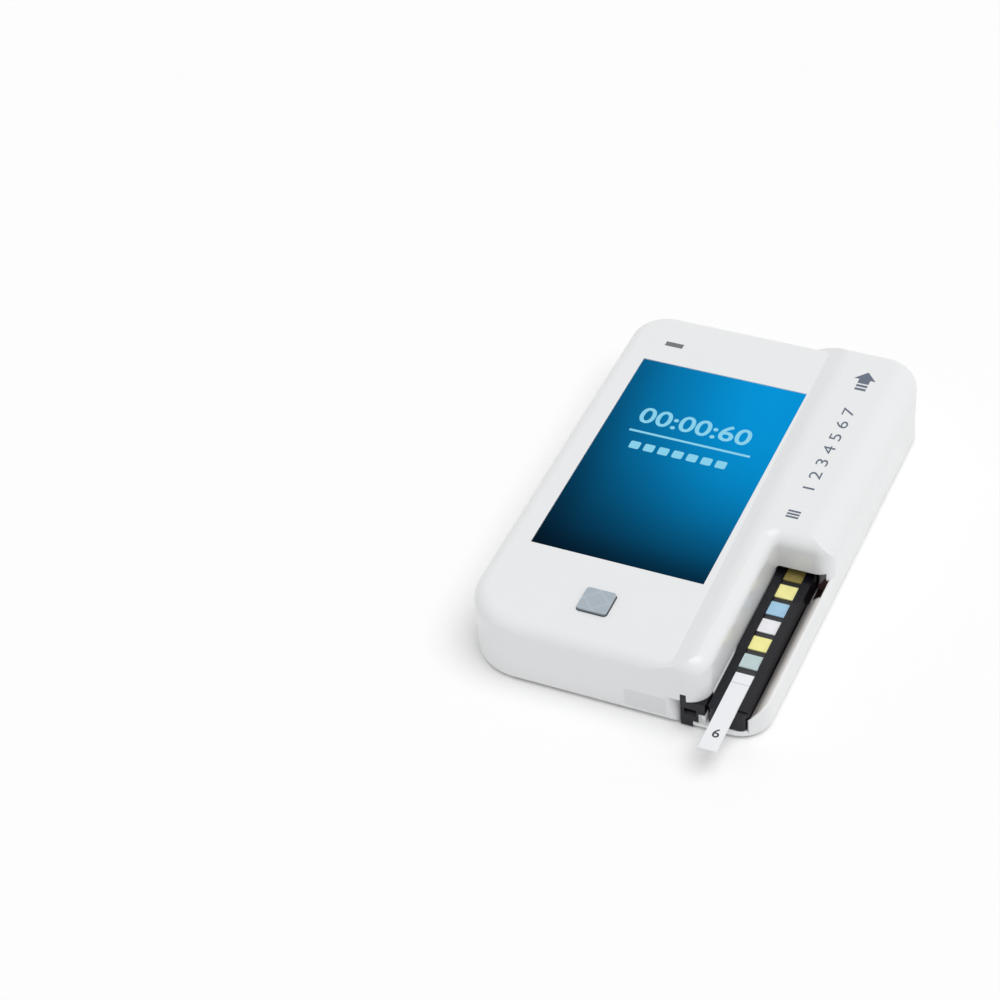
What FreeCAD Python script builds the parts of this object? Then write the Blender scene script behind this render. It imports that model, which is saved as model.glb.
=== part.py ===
"""Handheld urine analyzer: two moulded covers, touch screen, home button, and a motor-driven
strip tray that slides in under an optical reader. Millimetres, +Z up, +Y towards the back.
The origin lies on the surface that it stands on, under the middle of housing and strip together.
Places in the table are distances from a side of the housing, or from a piece next to it."""
import FreeCAD, Part
import math
import os

import Sketcher
from FreeCAD import Placement, Rotation, Vector

SIZES = [
    # housing
    ("body_w", 84.8, "housing width across the middle"),
    ("body_l", 134.8, "housing length"),
    ("side_taper", 0.45, "how far the right side leans out at the back and in at the front"),
    ("foot_out", 0.4, "how far the rubber feet stand below the housing"),
    ("split_z", 9.0, "joint between bottom and top cover, and top of the shelf"),
    ("bezel_z", 20.0, "top of the screen bezel"),
    ("hood_z", 22.3, "top of the reader hood"),
    ("wall", 2.0, "side wall of both covers"),
    ("roof", 2.0, "top wall of the top cover"),
    ("floor", 2.0, "bottom wall of the bottom cover"),
    ("edge_round", 4.0, "rounding of the top edges"),
    ("base_edge", 0.9, "chamfer of the bottom edge"),
    ("shelf_round", 0.8, "rounding of the shelf's outer edge"),
    ("corner_fl", 16.0, "plan radius, front left"),
    ("corner_bl", 10.5, "plan radius, back left"),
    ("corner_br", 11.0, "plan radius, back right"),
    ("corner_fr", 8.5, "plan radius, front right"),
    ("lobe_corner", 5.7, "plan radius of the bezel beside the strip channel"),
    ("hood_corner", 4.6, "plan radius of the hood beside its mouth"),
    ("nook_corner", 1.2, "plan radius where the channel meets the hood"),
    ("ridge_back", 11.8, "foot of the hood's slope at the back, from the channel wall"),
    ("ridge_front", 9.3, "foot of the hood's slope at the front, from the channel wall"),
    ("ridge_run", 5.0, "width of the slope between bezel and hood"),
    ("ridge_round", 8.0, "rounding at the top of the slope"),
    ("side_roll", 8.0, "rounding of the hood's right edge"),
    # strip channel and mouth
    ("channel_side", 5.5, "left wall of the open strip channel, from the tray's middle"),
    ("channel_l", 52.8, "length of the open channel, front face to hood"),
    ("mouth_h", 2.6, "height of the mouth under the hood's front"),
    ("mouth_round", 1.6, "rounding of the mouth's upper left corner"),
    ("mouth_rim", 1.6, "hood's wall beside the mouth"),
    # screen
    ("bezel_left", 8.37, "cover left of the screen"),
    ("bezel_right", 11.87, "cover between the screen and the channel wall"),
    ("bezel_front", 31.1, "cover in front of the screen"),
    ("bezel_back", 22.1, "cover behind the screen"),
    ("glass_t", 1.5, "touch panel thickness"),
    ("glass_gap", 0.12, "gap round the touch panel"),
    ("glass_sink", 0.2, "touch panel below the bezel"),
    ("ledge_w", 1.75, "ledge that carries the touch panel"),
    ("ledge_t", 1.0, "thickness of that ledge"),
    ("frame_rim", 1.2, "display frame beyond its glass, each side"),
    ("frame_t", 2.6, "display frame thickness"),
    ("frame_lip", 0.6, "display frame beyond the screen recess, each side"),
    ("cell_t", 1.5, "display cell thickness"),
    # home button
    ("button_side", 0.95, "home button, right of the screen's middle"),
    ("button_front", 15.4, "home button, from the front"),
    ("button_w", 8.3, "home button size"),
    ("button_out", 1.0, "home button above the bezel"),
    ("button_round", 0.9, "plan radius of the home button"),
    ("button_edge", 0.35, "rounding of the button's top edge"),
    ("button_gap", 0.2, "gap round the home button"),
    ("button_flange", 1.25, "flange beyond the button, each side"),
    ("flange_t", 1.0, "button flange thickness"),
    ("button_travel", 0.8, "home button travel"),
    ("stem_d", 3.0, "button stem diameter"),
    ("stem_l", 1.6, "button stem length below the flange"),
    # indicator
    ("lamp_side", 18.4, "indicator window, left of the screen's middle"),
    ("lamp_back", 13.75, "indicator window, from the back"),
    ("lamp_w", 5.3, "indicator window width"),
    ("lamp_l", 1.9, "indicator window length"),
    ("pipe_gap", 0.05, "gap round the light pipe"),
    ("pipe_flange", 0.9, "light pipe flange beyond the window"),
    ("pipe_flange_t", 0.8, "light pipe flange thickness"),
    ("pipe_end_z", 13.0, "lower end of the light pipe"),
    # main board and what it carries
    ("board_z", 10.0, "underside of the main board"),
    ("board_t", 1.6, "main board thickness"),
    ("board_left", 4.0, "main board, from the left side"),
    ("board_right", 9.4, "main board, from the channel wall"),
    ("board_front", 5.9, "main board, from the front"),
    ("board_back", 2.8, "main board, from the back"),
    ("notch_w", 7.9, "width of the board's left corner notches"),
    ("notch_front", 15.5, "length of the front notch"),
    ("notch_back", 10.1, "length of the back notch"),
    ("post_d", 5.0, "post diameter"),
    ("post_left", 3.9, "left posts, from the board's edge"),
    ("post_right", 4.4, "right posts, from the board's edge"),
    ("post_front", 21.5, "front posts, from the board's edge"),
    ("post_back", 13.6, "back posts, from the board's edge"),
    ("chip_w", 12.0, "processor size"),
    ("chip_t", 1.2, "processor height"),
    ("can_w", 20.0, "radio shield width"),
    ("can_l", 15.0, "radio shield length"),
    ("can_t", 1.8, "radio shield height"),
    ("can_skin", 0.3, "radio shield metal"),
    ("buzzer_d", 9.0, "buzzer diameter"),
    ("buzzer_t", 2.6, "buzzer height"),
    ("buzzer_side", 13.45, "buzzer, left of the screen's middle"),
    ("plug_w", 7.0, "battery socket width"),
    ("plug_l", 5.0, "battery socket length"),
    ("plug_t", 3.0, "battery socket height"),
    ("plug_side", 8.4, "battery socket, from the board's right edge"),
    ("key_w", 6.0, "push switch size"),
    ("key_t", 1.8, "push switch height"),
    ("key_top_d", 3.4, "push switch plunger"),
    ("key_clear", 0.2, "left between stem and switch at full press"),
    ("usb_w", 8.9, "charging socket width"),
    ("usb_l", 7.0, "charging socket depth"),
    ("usb_t", 3.2, "charging socket height"),
    ("usb_skin", 0.35, "charging socket metal"),
    ("usb_gap", 0.4, "gap round the charging socket"),
    ("usb_sink", 0.8, "charging socket behind the back face"),
    ("ribbon_w", 16.0, "display cable width"),
    ("ribbon_t", 0.25, "display cable thickness"),
    ("ribbon_side", 10.45, "display cable, left of the screen's middle"),
    ("header_l", 3.6, "display cable socket length"),
    ("header_t", 1.6, "display cable socket height"),
    # battery and its door
    ("battery_side", 0.45, "battery, left of the screen's middle"),
    ("battery_ahead", 1.5, "battery, in front of the screen's middle"),
    ("battery_w", 34.0, "battery width"),
    ("battery_l", 48.0, "battery length"),
    ("battery_t", 6.6, "battery thickness"),
    ("battery_gap", 1.0, "room round the battery"),
    ("door_t", 1.2, "battery door thickness"),
    ("door_side", 2.2, "door overlap at the sides"),
    ("door_end", 8.0, "door overlap at its screwed ends"),
    ("door_gap", 0.2, "gap round the door"),
    ("door_post_d", 4.8, "door screw boss"),
    ("door_post_h", 4.0, "door screw boss height"),
    # screws, feet
    ("case_post_d", 5.4, "case screw boss"),
    ("case_left", 7.2, "left case screws, from the left side"),
    ("case_right", 5.9, "front right case screw, from the channel wall"),
    ("case_front", 13.8, "front case screws, from the front"),
    ("case_back", 7.8, "back left case screw, from the back"),
    ("case_end", 4.0, "back right case screw, from the back"),
    ("screw_d", 2.0, "case screw shank"),
    ("screw_head_d", 3.6, "case screw head"),
    ("screw_head_t", 1.4, "case screw head height"),
    ("screw_l", 11.0, "case screw length under the head"),
    ("screw_sink", 0.3, "case screw head inside its counterbore"),
    ("sink_d", 4.2, "counterbore"),
    ("small_d", 1.6, "small screw shank"),
    ("small_head_d", 3.0, "small screw head"),
    ("small_head_t", 1.0, "small screw head height"),
    ("small_l", 4.4, "small screw length under the head"),
    ("door_screw_l", 3.6, "door screw length under the head"),
    ("foot_d", 8.0, "rubber foot diameter"),
    ("foot_seat", 0.8, "depth of a foot's recess"),
    ("foot_side", 11.4, "left feet, from the left side"),
    ("foot_end", 20.4, "feet, from the front and back"),
    ("foot_edge", 0.3, "chamfer of a foot's lower edge"),
    # strip tray and its drive
    ("tray_side", 10.1, "tray's middle, from the right side"),
    ("tray_w", 10.4, "tray width"),
    ("tray_behind", 31.4, "tray's back end, behind the mouth"),
    ("tray_back_set", 0.2, "tray front behind the front face"),
    ("tray_gap", 0.3, "running gap at the tray's sides"),
    ("tray_lift", 0.15, "running gap under the tray"),
    ("tray_floor", 2.6, "wall under the tray"),
    ("bay_end", 7.9, "housing behind the tray's bay"),
    ("tray_end_gap", 0.7, "room behind the tray when it is in"),
    ("strip_bed_z", 8.4, "tray face that the strip lies on"),
    ("rail_h", 1.1, "tray rails above the strip bed"),
    ("rail_gap", 0.12, "gap between strip and rails"),
    ("rail_left_start", 20.6, "left rail's front end, from the tray's front"),
    ("rail_right_start", 15.4, "right rail's front end, from the tray's front"),
    ("rail_ramp", 2.4, "length of a rail's sloping front end"),
    ("lip_h", 0.45, "low rim in front of the right rail"),
    ("tray_nose", 1.8, "plan radius of the tray's front corners"),
    ("tray_skin", 2.0, "tray wall"),
    ("tray_rack_wall", 3.2, "tray wall that holds the rack"),
    ("tray_top", 1.6, "tray wall under the strip bed"),
    ("gear_module", 0.6, "module of rack and pinion"),
    ("gear_backlash", 0.12, "play between the teeth"),
    ("pinion_behind", 26.6, "pinion's shaft, behind the mouth"),
    ("pinion_t", 2.6, "pinion face width"),
    ("pinion_lift", 0.5, "pinion above the tray's underside"),
    ("rack_top", 3.9, "height of the rack's teeth"),
    ("rack_spare", 4.0, "rack beyond the travel, each end"),
    ("shaft_d", 2.0, "pinion shaft"),
    ("shaft_gap", 0.05, "running gap round the shaft"),
    ("shaft_in", 3.0, "shaft inside the motor"),
    ("pivot_h", 1.2, "boss under the pinion"),
    ("motor_d", 15.0, "motor diameter"),
    ("motor_t", 6.4, "motor height"),
    ("motor_collar_d", 5.0, "motor collar diameter"),
    ("bracket_t", 1.0, "motor bracket sheet"),
    ("bracket_clear", 0.5, "gap between the tray's rails and the motor bracket"),
    ("bracket_left", 5.7, "motor bracket's left edge, from the shaft"),
    ("bracket_right", 4.5, "motor bracket's right edge, from the shaft"),
    ("bracket_post", 2.5, "motor bracket's screws, left of the shaft"),
    ("bracket_reach", 11.4, "motor bracket screws, from the shaft"),
    # optical reader
    ("reader_l", 8.2, "reader length along the tray"),
    ("reader_front", 1.8, "gap from the hood's front wall"),
    ("reader_foot", 2.0, "width of the reader's left foot"),
    ("reader_toe", 1.4, "width of the reader's right foot"),
    ("reader_clear", 1.6, "reader underside above the joint"),
    ("reader_top_z", 17.0, "top of the reader housing"),
    ("reader_skin", 1.2, "reader housing wall"),
    ("window_w", 8.0, "reader window width"),
    ("window_l", 5.2, "reader window length"),
    ("window_t", 0.8, "reader window thickness"),
    ("window_lip", 0.8, "reader window rebate"),
    ("reader_board_t", 1.0, "reader board thickness"),
    ("lens_d", 4.4, "reader lens barrel"),
    ("lens_l", 3.2, "reader lens barrel length"),
    ("diode_w", 1.6, "illumination diode size"),
    ("diode_t", 0.9, "illumination diode height"),
    ("reader_ear_w", 4.2, "length of the reader's screwed ear"),
    ("reader_ear_t", 1.2, "reader ear thickness"),
    ("reader_ear_l", 6.4, "reader ear length"),
    # guide block in the front edge
    ("guide_side", 6.8, "guide block's left side, from the channel wall"),
    ("guide_w", 4.9, "width of the guide block's foot"),
    ("trough_w", 2.6, "finger trough beside the tray, its width at the inner end"),
    ("trough_depth", 3.4, "depth of the trough at the inner end"),
    ("trough_out_w", 0.9, "width of the trough at the front"),
    ("trough_out_depth", 0.8, "depth of the trough at the front"),
    ("trough_in", 3.6, "end of the trough, behind the mouth"),
    ("guide_depth", 6.2, "guide block depth"),
    ("guide_gap", 0.1, "gap round the guide block"),
    ("guide_arm_z", 5.5, "underside of the guide block's arm"),
    ("guide_sill", 3.4, "width of the guide block's lower lip"),
    ("guide_sill_depth", 1.7, "depth of that lip"),
    ("tab_w", 1.5, "guide tab width"),
    ("tab_h", 2.2, "guide tab height above the joint"),
    ("scoop_w", 4.0, "finger scoop's width at the joint"),
    ("scoop_foot_w", 1.3, "finger scoop's width at the bottom"),
    ("scoop_depth", 3.4, "finger scoop's depth at the joint"),
    ("scoop_foot_depth", 1.4, "finger scoop's depth at the bottom"),
    # test strip
    ("strip_w", 5.05, "test strip width"),
    ("strip_t", 0.3, "test strip thickness"),
    ("strip_out", 13.1, "test strip beyond the front face"),
    ("strip_l", 77.0, "test strip length"),
    ("pad_l", 4.9, "reagent pad length"),
    ("pad_t", 0.35, "reagent pad thickness"),
    ("pad_pitch", 6.82, "reagent pad pitch"),
    ("pad_start", 29.7, "first pad, from the strip's front end"),
]
PAD_COUNT = 7
PINION_TEETH = 14
TINY = 0.001

doc = FreeCAD.newDocument("urine_analyzer")
sheet = doc.addObject("Spreadsheet::Sheet", "Sizes")
sheet.Label = "sizes"


class Size:
    """A length with the sheet formula that it comes from."""

    def __init__(self, value, formula):
        self.value = float(value)
        self.formula = formula

    def __add__(self, other):
        return combine(self, "+", other, self.value + value_of(other))

    def __radd__(self, other):
        return as_size(other) + self

    def __sub__(self, other):
        return combine(self, "-", other, self.value - value_of(other))

    def __rsub__(self, other):
        return as_size(other) - self

    def __mul__(self, other):
        return combine(self, "*", other, self.value * value_of(other))

    def __rmul__(self, other):
        return as_size(other) * self

    def __truediv__(self, other):
        return combine(self, "/", other, self.value / value_of(other))

    def __neg__(self):
        return Size(-self.value, f"(0 - {self.formula})")


def as_size(number):
    return number if isinstance(number, Size) else Size(number, f"({number})")


def value_of(number):
    return number.value if isinstance(number, Size) else float(number)


def combine(left, sign, right, value):
    return Size(value, f"({left.formula} {sign} {as_size(right).formula})")


class Sizes:
    """Gives each sheet cell as a Size under its alias."""

    def __init__(self, table):
        for row, (name, value, note) in enumerate(table, 1):
            sheet.set(f"A{row}", name)
            sheet.set(f"B{row}", str(value))
            sheet.set(f"C{row}", note)
            sheet.setAlias(f"B{row}", name)
            setattr(self, name, Size(value, f"Sizes.{name}"))


s = Sizes(SIZES)
doc.recompute()
cuts = []


def bind(target, name, size):
    target.setExpression(name, as_size(size).formula)


def new_body(label):
    body = doc.addObject("PartDesign::Body", label)
    body.Label = label
    return body


def new_sketch(body, name, plane, offset):
    """A sketch parallel to an origin plane, moved along the plane's normal."""
    sketch = body.newObject("Sketcher::SketchObject", name)
    origin_plane = next(item for item in body.Origin.OriginFeatures if item.Role == plane + "_Plane")
    sketch.AttachmentSupport = [(origin_plane, "")]
    sketch.MapMode = "FlatFace"
    bind(sketch, "AttachmentOffset.Base.z", -offset if plane == "XZ" else offset)
    return sketch


def pin_point(sketch, index, position, x, y):
    """Ties a point of the sketch to a place given by two sizes."""
    for kind, size in (("DistanceX", x), ("DistanceY", y)):
        number = sketch.addConstraint(Sketcher.Constraint(kind, index, position, value_of(size)))
        bind(sketch, f"Constraints[{number}]", size)


def pin_radius(sketch, index, radius):
    number = sketch.addConstraint(Sketcher.Constraint("Radius", index, value_of(radius)))
    bind(sketch, f"Constraints[{number}]", radius)


def disc(x, y, diameter):
    """Outline: a circle."""

    def draw(sketch):
        centre = Vector(value_of(x), value_of(y), 0)
        radius = as_size(diameter) / 2
        index = sketch.addGeometry(Part.Circle(centre, Vector(0, 0, 1), value_of(radius)))
        pin_point(sketch, index, 3, x, y)
        pin_radius(sketch, index, radius)

    return draw


def outline(*corners):
    """Outline: a closed run of straight lines. A corner is (x, y) or, rounded, (x, y, radius)."""

    def draw(sketch):
        points = [Vector(value_of(c[0]), value_of(c[1]), 0) for c in corners]
        count = len(points)
        rounded = [len(corner) == 3 for corner in corners]
        starts, ends, arcs = [], [], {}
        for i, point in enumerate(points):
            before = (points[i - 1] - point).normalize()
            after = (points[(i + 1) % count] - point).normalize()
            if not rounded[i]:
                starts.append(point)
                ends.append(point)
                continue
            radius = value_of(corners[i][2])
            half = before.getAngle(after) / 2
            reach = radius / math.tan(half)
            centre = point + (before + after).normalize() * (radius / math.sin(half))
            ends.append(point + before * reach)
            starts.append(point + after * reach)
            arcs[i] = (centre, radius)
        lines = [
            sketch.addGeometry(Part.LineSegment(starts[i], ends[(i + 1) % count]))
            for i in range(count)
        ]
        for i in range(count):
            incoming, outgoing = lines[i - 1], lines[i]
            if not rounded[i]:
                sketch.addConstraint(Sketcher.Constraint("Coincident", incoming, 2, outgoing, 1))
                pin_point(sketch, outgoing, 1, corners[i][0], corners[i][1])
                continue
            centre, radius = arcs[i]
            first, last = ends[i], starts[i]
            turn = (first - points[i - 1]).cross(points[(i + 1) % count] - last).z
            joints = ((incoming, 2, 1), (outgoing, 1, 2))
            if turn < 0:
                first, last = last, first
                joints = ((incoming, 2, 2), (outgoing, 1, 1))
            circle = Part.Circle(centre, Vector(0, 0, 1), radius)
            start_angle = math.atan2(first.y - centre.y, first.x - centre.x)
            end_angle = math.atan2(last.y - centre.y, last.x - centre.x)
            arc = sketch.addGeometry(Part.ArcOfCircle(circle, start_angle, end_angle))
            for line, line_end, arc_end in joints:
                sketch.addConstraint(Sketcher.Constraint("Tangent", line, line_end, arc, arc_end))
            pin_radius(sketch, arc, corners[i][2])
            corner = sketch.addGeometry(Part.Point(points[i]), True)
            pin_point(sketch, corner, 1, corners[i][0], corners[i][1])
            for line in (incoming, outgoing):
                sketch.addConstraint(Sketcher.Constraint("PointOnObject", corner, 1, line))

    return draw


def rectangle(x_low, x_high, y_low, y_high, radius=None):
    """Outline: a rectangle, with rounded corners if a radius is given."""
    tail = () if radius is None else (radius,)
    return outline(
        (x_low, y_low) + tail,
        (x_high, y_low) + tail,
        (x_high, y_high) + tail,
        (x_low, y_high) + tail,
    )


def centred(x, y, width, length, radius=None):
    """Outline: a rectangle round a centre."""
    half_w, half_l = as_size(width) / 2, as_size(length) / 2
    return rectangle(x - half_w, x + half_w, y - half_l, y + half_l, radius)


def draw_all(body, name, plane, outlines, start):
    sketch = new_sketch(body, name + "_sketch", plane, start)
    for draw in outlines:
        draw(sketch)
    sketch.Visibility = False
    return sketch


def add(body, name, outlines, start, end, plane="XY"):
    """Pads outlines from start to end along the plane's row axis."""
    sketch = draw_all(body, name, plane, outlines, start)
    pad = body.newObject("PartDesign::Pad", name)
    pad.Profile = sketch
    pad.Reversed = plane == "XZ"
    bind(pad, "Length", end - start)
    return pad


def cut(body, name, outlines, start, end, plane="XY"):
    """Pockets outlines from start to end along the plane's row axis."""
    sketch = draw_all(body, name, plane, outlines, start)
    pocket = body.newObject("PartDesign::Pocket", name)
    pocket.Profile = sketch
    pocket.Reversed = plane != "XZ"
    bind(pocket, "Length", end - start)
    cuts.append(pocket)
    return pocket


def soften(body, name, chosen, radius, kind="Fillet"):
    """Rounds or chamfers the edges of the body that the test chooses."""
    doc.recompute()
    shape = body.Shape
    names = [f"Edge{i}" for i, edge in enumerate(shape.Edges, 1) if chosen(edge)]
    if not names:
        raise RuntimeError(f"no edge for {name}")
    before = body.Tip
    feature = body.newObject("PartDesign::" + kind, name)
    feature.Base = (before, names)
    bind(feature, "Radius" if kind == "Fillet" else "Size", radius)
    return feature


def level_at(z):
    """Edge test: the whole edge lies at this height."""
    height = value_of(z)

    def chosen(edge):
        box = edge.BoundBox
        return abs(box.ZMin - height) < TINY and abs(box.ZMax - height) < TINY

    return chosen


def joined(kind, label, pieces):
    """A boolean of whole solids: MultiFuse or MultiCommon."""
    result = doc.addObject("Part::" + kind, label)
    result.Shapes = pieces
    result.Label = label
    return result


def taken_from(label, base, tool):
    result = doc.addObject("Part::Cut", label)
    result.Base = base
    result.Tool = tool
    result.Label = label
    return result


# places that several pieces share
mid_y = s.strip_out / 2
left_x = -s.body_w / 2
front_y = mid_y - s.body_l / 2
back_y = mid_y + s.body_l / 2
side_front = s.body_w / 2 - s.side_taper
side_back = s.body_w / 2 + s.side_taper
mouth_y = front_y + s.channel_l
side_mouth = side_front + (side_back - side_front) * s.channel_l / s.body_l
tray_x = s.body_w / 2 - s.tray_side
channel_x = tray_x - s.channel_side
base_z = s.foot_out
floor_z = base_z + s.floor

screen_w = channel_x - s.bezel_right - left_x - s.bezel_left
screen_l = s.body_l - s.bezel_front - s.bezel_back
screen_x = left_x + s.bezel_left + screen_w / 2
screen_y = front_y + s.bezel_front + screen_l / 2
button_x = screen_x + s.button_side
button_y = front_y + s.button_front
lamp_x = screen_x - s.lamp_side
lamp_y = back_y - s.lamp_back
roof_z = s.bezel_z - s.roof
ledge_z = s.bezel_z - s.glass_sink - s.glass_t
rib_z = ledge_z - s.ledge_t

board_left = left_x + s.board_left
board_right = channel_x - s.board_right
board_front = front_y + s.board_front
board_back = back_y - s.board_back
board_top = s.board_z + s.board_t
buzzer_x = screen_x - s.buzzer_side
plug_x = board_right - s.plug_side
ribbon_x = screen_x - s.ribbon_side
battery_x = screen_x - s.battery_side
battery_y = screen_y - s.battery_ahead

channel_z = base_z + s.tray_floor
tray_left = tray_x - s.tray_w / 2
tray_right = tray_x + s.tray_w / 2
tray_front = front_y + s.tray_back_set
tray_back = mouth_y + s.tray_behind
tray_z = channel_z + s.tray_lift
bay_left = tray_left - s.tray_gap
bay_right = tray_right + s.tray_gap
bay_back = back_y - s.bay_end
tray_travel = bay_back - s.tray_end_gap - tray_back
pitch_radius = s.gear_module * PINION_TEETH / 2
rack_pitch_x = tray_left + s.gear_module
pinion_x = rack_pitch_x - pitch_radius
pinion_y = mouth_y + s.pinion_behind
bracket_z = s.strip_bed_z + s.rail_h + s.bracket_clear
reader_back = mouth_y + s.wall + s.reader_front + s.reader_l
reader_y = reader_back - s.reader_l / 2
reader_ear_x = bay_left - s.reader_foot - s.reader_ear_w
guide_left = channel_x - s.guide_side
guide_right = guide_left + s.guide_w
guide_back = front_y + s.guide_depth
scoop_left = guide_left - s.scoop_w
scoop_foot_left = guide_left - s.scoop_foot_w

case_screws = [
    (left_x + s.case_left, front_y + s.case_front),
    (left_x + s.case_left, back_y - s.case_back),
    (channel_x - s.case_right, front_y + s.case_front),
    (tray_x, back_y - s.case_end),
]
board_posts = [
    (x, y)
    for x in (board_left + s.post_left, board_right - s.post_right)
    for y in (board_front + s.post_front, board_back - s.post_back)
]
bracket_posts = [
    (pinion_x - s.bracket_post, pinion_y - s.bracket_reach),
    (pinion_x - s.bracket_post, pinion_y + s.bracket_reach),
]
reader_post = (reader_ear_x + s.small_head_d / 2 + 0.4, reader_y)
door_screws = [
    (battery_x, battery_y + sign * (s.battery_l / 2 + s.battery_gap + s.door_end / 2))
    for sign in (-1, 1)
]
feet = [
    (x, y)
    for x in (left_x + s.foot_side, tray_x)
    for y in (front_y + s.foot_end, back_y - s.foot_end)
]


def upper_outline(inset):
    """Plan of the top cover: bezel and hood, with the open strip channel left out."""
    left, right = left_x + inset, channel_x - inset
    front, middle, back = front_y + inset, mouth_y + inset, back_y - inset
    return outline(
        (left, front, s.corner_fl - inset),
        (right, front, s.lobe_corner - inset),
        (right, middle, s.nook_corner + inset),
        (side_mouth - inset, middle, s.hood_corner - inset),
        (side_back - inset, back, s.corner_br - inset),
        (left, back, s.corner_bl - inset),
    )


def lower_outline(inset):
    """Plan of the bottom cover."""
    return outline(
        (left_x + inset, front_y + inset, s.corner_fl - inset),
        (side_front - inset, front_y + inset, s.corner_fr - inset),
        (side_back - inset, back_y - inset, s.corner_br - inset),
        (left_x + inset, back_y - inset, s.corner_bl - inset),
    )


def leaning_block(label, corners, x, angle):
    """A long block with its section in the XZ plane, set at x and turned about the vertical."""
    body = new_body(label)
    add(body, label + "_block", [outline(*corners)], -s.body_l, s.body_l, plane="XZ")
    body.Placement = Placement(Vector(0, 0, 0), Rotation(Vector(0, 0, 1), 0))
    bind(body, "Placement.Base.x", x)
    bind(body, "Placement.Base.y", mid_y)
    bind(body, "Placement.Rotation.Angle", angle)
    return body


def turn_of(slant):
    """The angle in degrees of a slant given as a share."""
    return Size(math.degrees(math.atan(slant.value)), f"atan({slant.formula})")


def hood_side(label, shift, top):
    """Everything to the right of the hood's slope, which runs slightly askew along the housing."""
    fall = s.ridge_run / (s.hood_z - s.bezel_z)
    drop = s.edge_round + s.roof
    corners = [
        (-drop * fall, s.bezel_z - drop),
        (s.body_w, s.bezel_z - drop),
        (s.body_w, top),
        ((top - s.bezel_z) * fall, top, s.ridge_round),
    ]
    foot = channel_x - (s.ridge_front + s.ridge_back) / 2 + shift
    return leaning_block(label, corners, foot, turn_of((s.ridge_back - s.ridge_front) / s.body_l))


def rolled_side(label, inset, top):
    """Everything inside the right wall, whose top edge has a broad rounding."""
    corners = [
        (-s.body_w * 2, s.split_z - 3),
        (as_size(0), s.split_z - 3),
        (as_size(0), top, s.side_roll - inset),
        (-s.body_w * 2, top),
    ]
    return leaning_block(label, corners, s.body_w / 2 - inset, turn_of(-s.side_taper * 2 / s.body_l))


def cover_form(label, inset, low_top, high_top, shift, start):
    """The top cover's swelling form: a low bezel and a raised hood with a broadly rolled right side."""
    parts = []
    for name, top in (("low", low_top), ("high", high_top)):
        body = new_body(f"{label}_{name}")
        add(body, f"{label}_{name}_pad", [upper_outline(inset)], start, top)
        if value_of(inset) == 0:
            soften(body, f"{label}_{name}_edge", level_at(top), s.edge_round)
        else:
            edge = (s.edge_round - inset) * 0.6
            soften(body, f"{label}_{name}_edge", level_at(top), edge, "Chamfer")
        parts.append(body)
    raised = joined("MultiCommon", label + "_raised", [parts[1], hood_side(label + "_side", shift, high_top)])
    stepped = joined("MultiFuse", label + "_stepped", [parts[0], raised])
    return joined("MultiCommon", label, [stepped, rolled_side(label + "_roll", inset, high_top)])


def make_top_cover():
    outer = cover_form("cover_outer", as_size(0), s.bezel_z, s.hood_z, as_size(0), s.split_z)
    slope_shift = s.roof * s.ridge_run / (s.hood_z - s.bezel_z)
    inner = cover_form("cover_inner", s.wall, roof_z, s.hood_z - s.roof, slope_shift, s.split_z - 1)
    shell = taken_from("cover_shell", outer, inner)

    ribs = new_body("cover_ribs")
    frame_w = screen_w + s.frame_lip * 2
    frame_l = screen_l + s.frame_lip * 2
    add(ribs, "screen_rib", [centred(screen_x, screen_y, frame_w, frame_l)], rib_z, roof_z + 1)
    posts = [hexagon(x, y, s.case_post_d) for x, y in case_screws[:3]]
    add(ribs, "case_posts", posts, s.split_z, roof_z + 0.5)
    end_post = [hexagon(*case_screws[3], s.case_post_d)]
    add(ribs, "end_post", end_post, s.split_z, s.hood_z - s.roof + 0.5)
    ribbed = joined("MultiFuse", "cover_ribbed", [shell, ribs])

    holes = new_body("cover_holes")
    add(holes, "screen_recess", [centred(screen_x, screen_y, screen_w, screen_l)], ledge_z, s.hood_z)
    opening_w = screen_w - s.ledge_w * 2
    opening_l = screen_l - s.ledge_w * 2
    add(holes, "screen_opening", [centred(screen_x, screen_y, opening_w, opening_l)], rib_z - 1, ledge_z + 1)
    button_hole = s.button_w + s.button_gap * 2
    button_well = centred(button_x, button_y, button_hole, button_hole, s.button_round + s.button_gap)
    add(holes, "button_hole", [button_well], roof_z - 1, s.hood_z)
    add(holes, "lamp_hole", [centred(lamp_x, lamp_y, s.lamp_w, s.lamp_l)], roof_z - 1, s.hood_z)
    add(
        holes,
        "mouth",
        [
            outline(
                (channel_x, s.split_z - 1),
                (side_mouth - s.mouth_rim, s.split_z - 1),
                (side_mouth - s.mouth_rim, s.split_z + s.mouth_h),
                (channel_x, s.split_z + s.mouth_h, s.mouth_round),
            )
        ],
        mouth_y - 1,
        mouth_y + s.wall + 1,
        plane="XZ",
    )
    usb_z = board_top + s.usb_t / 2
    usb_hole = centred(screen_x, usb_z, s.usb_w + s.usb_gap * 2, s.usb_t + s.usb_gap * 2, s.usb_gap * 2)
    add(holes, "usb_hole", [usb_hole], back_y - s.wall - 1, back_y + 1, plane="XZ")
    tab = rectangle(
        guide_left,
        guide_left + s.tab_w + s.guide_gap * 2,
        s.split_z - 1,
        s.split_z + s.tab_h + s.guide_gap,
    )
    add(holes, "tab_notch", [tab], front_y - 1, front_y + s.wall + 1, plane="XZ")
    bores = [hexagon(x, y, s.screw_d) for x, y in case_screws]
    add(holes, "screw_bores", bores, s.split_z - 1, roof_z - 0.6)
    taken_from("top_cover", ribbed, holes)


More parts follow.
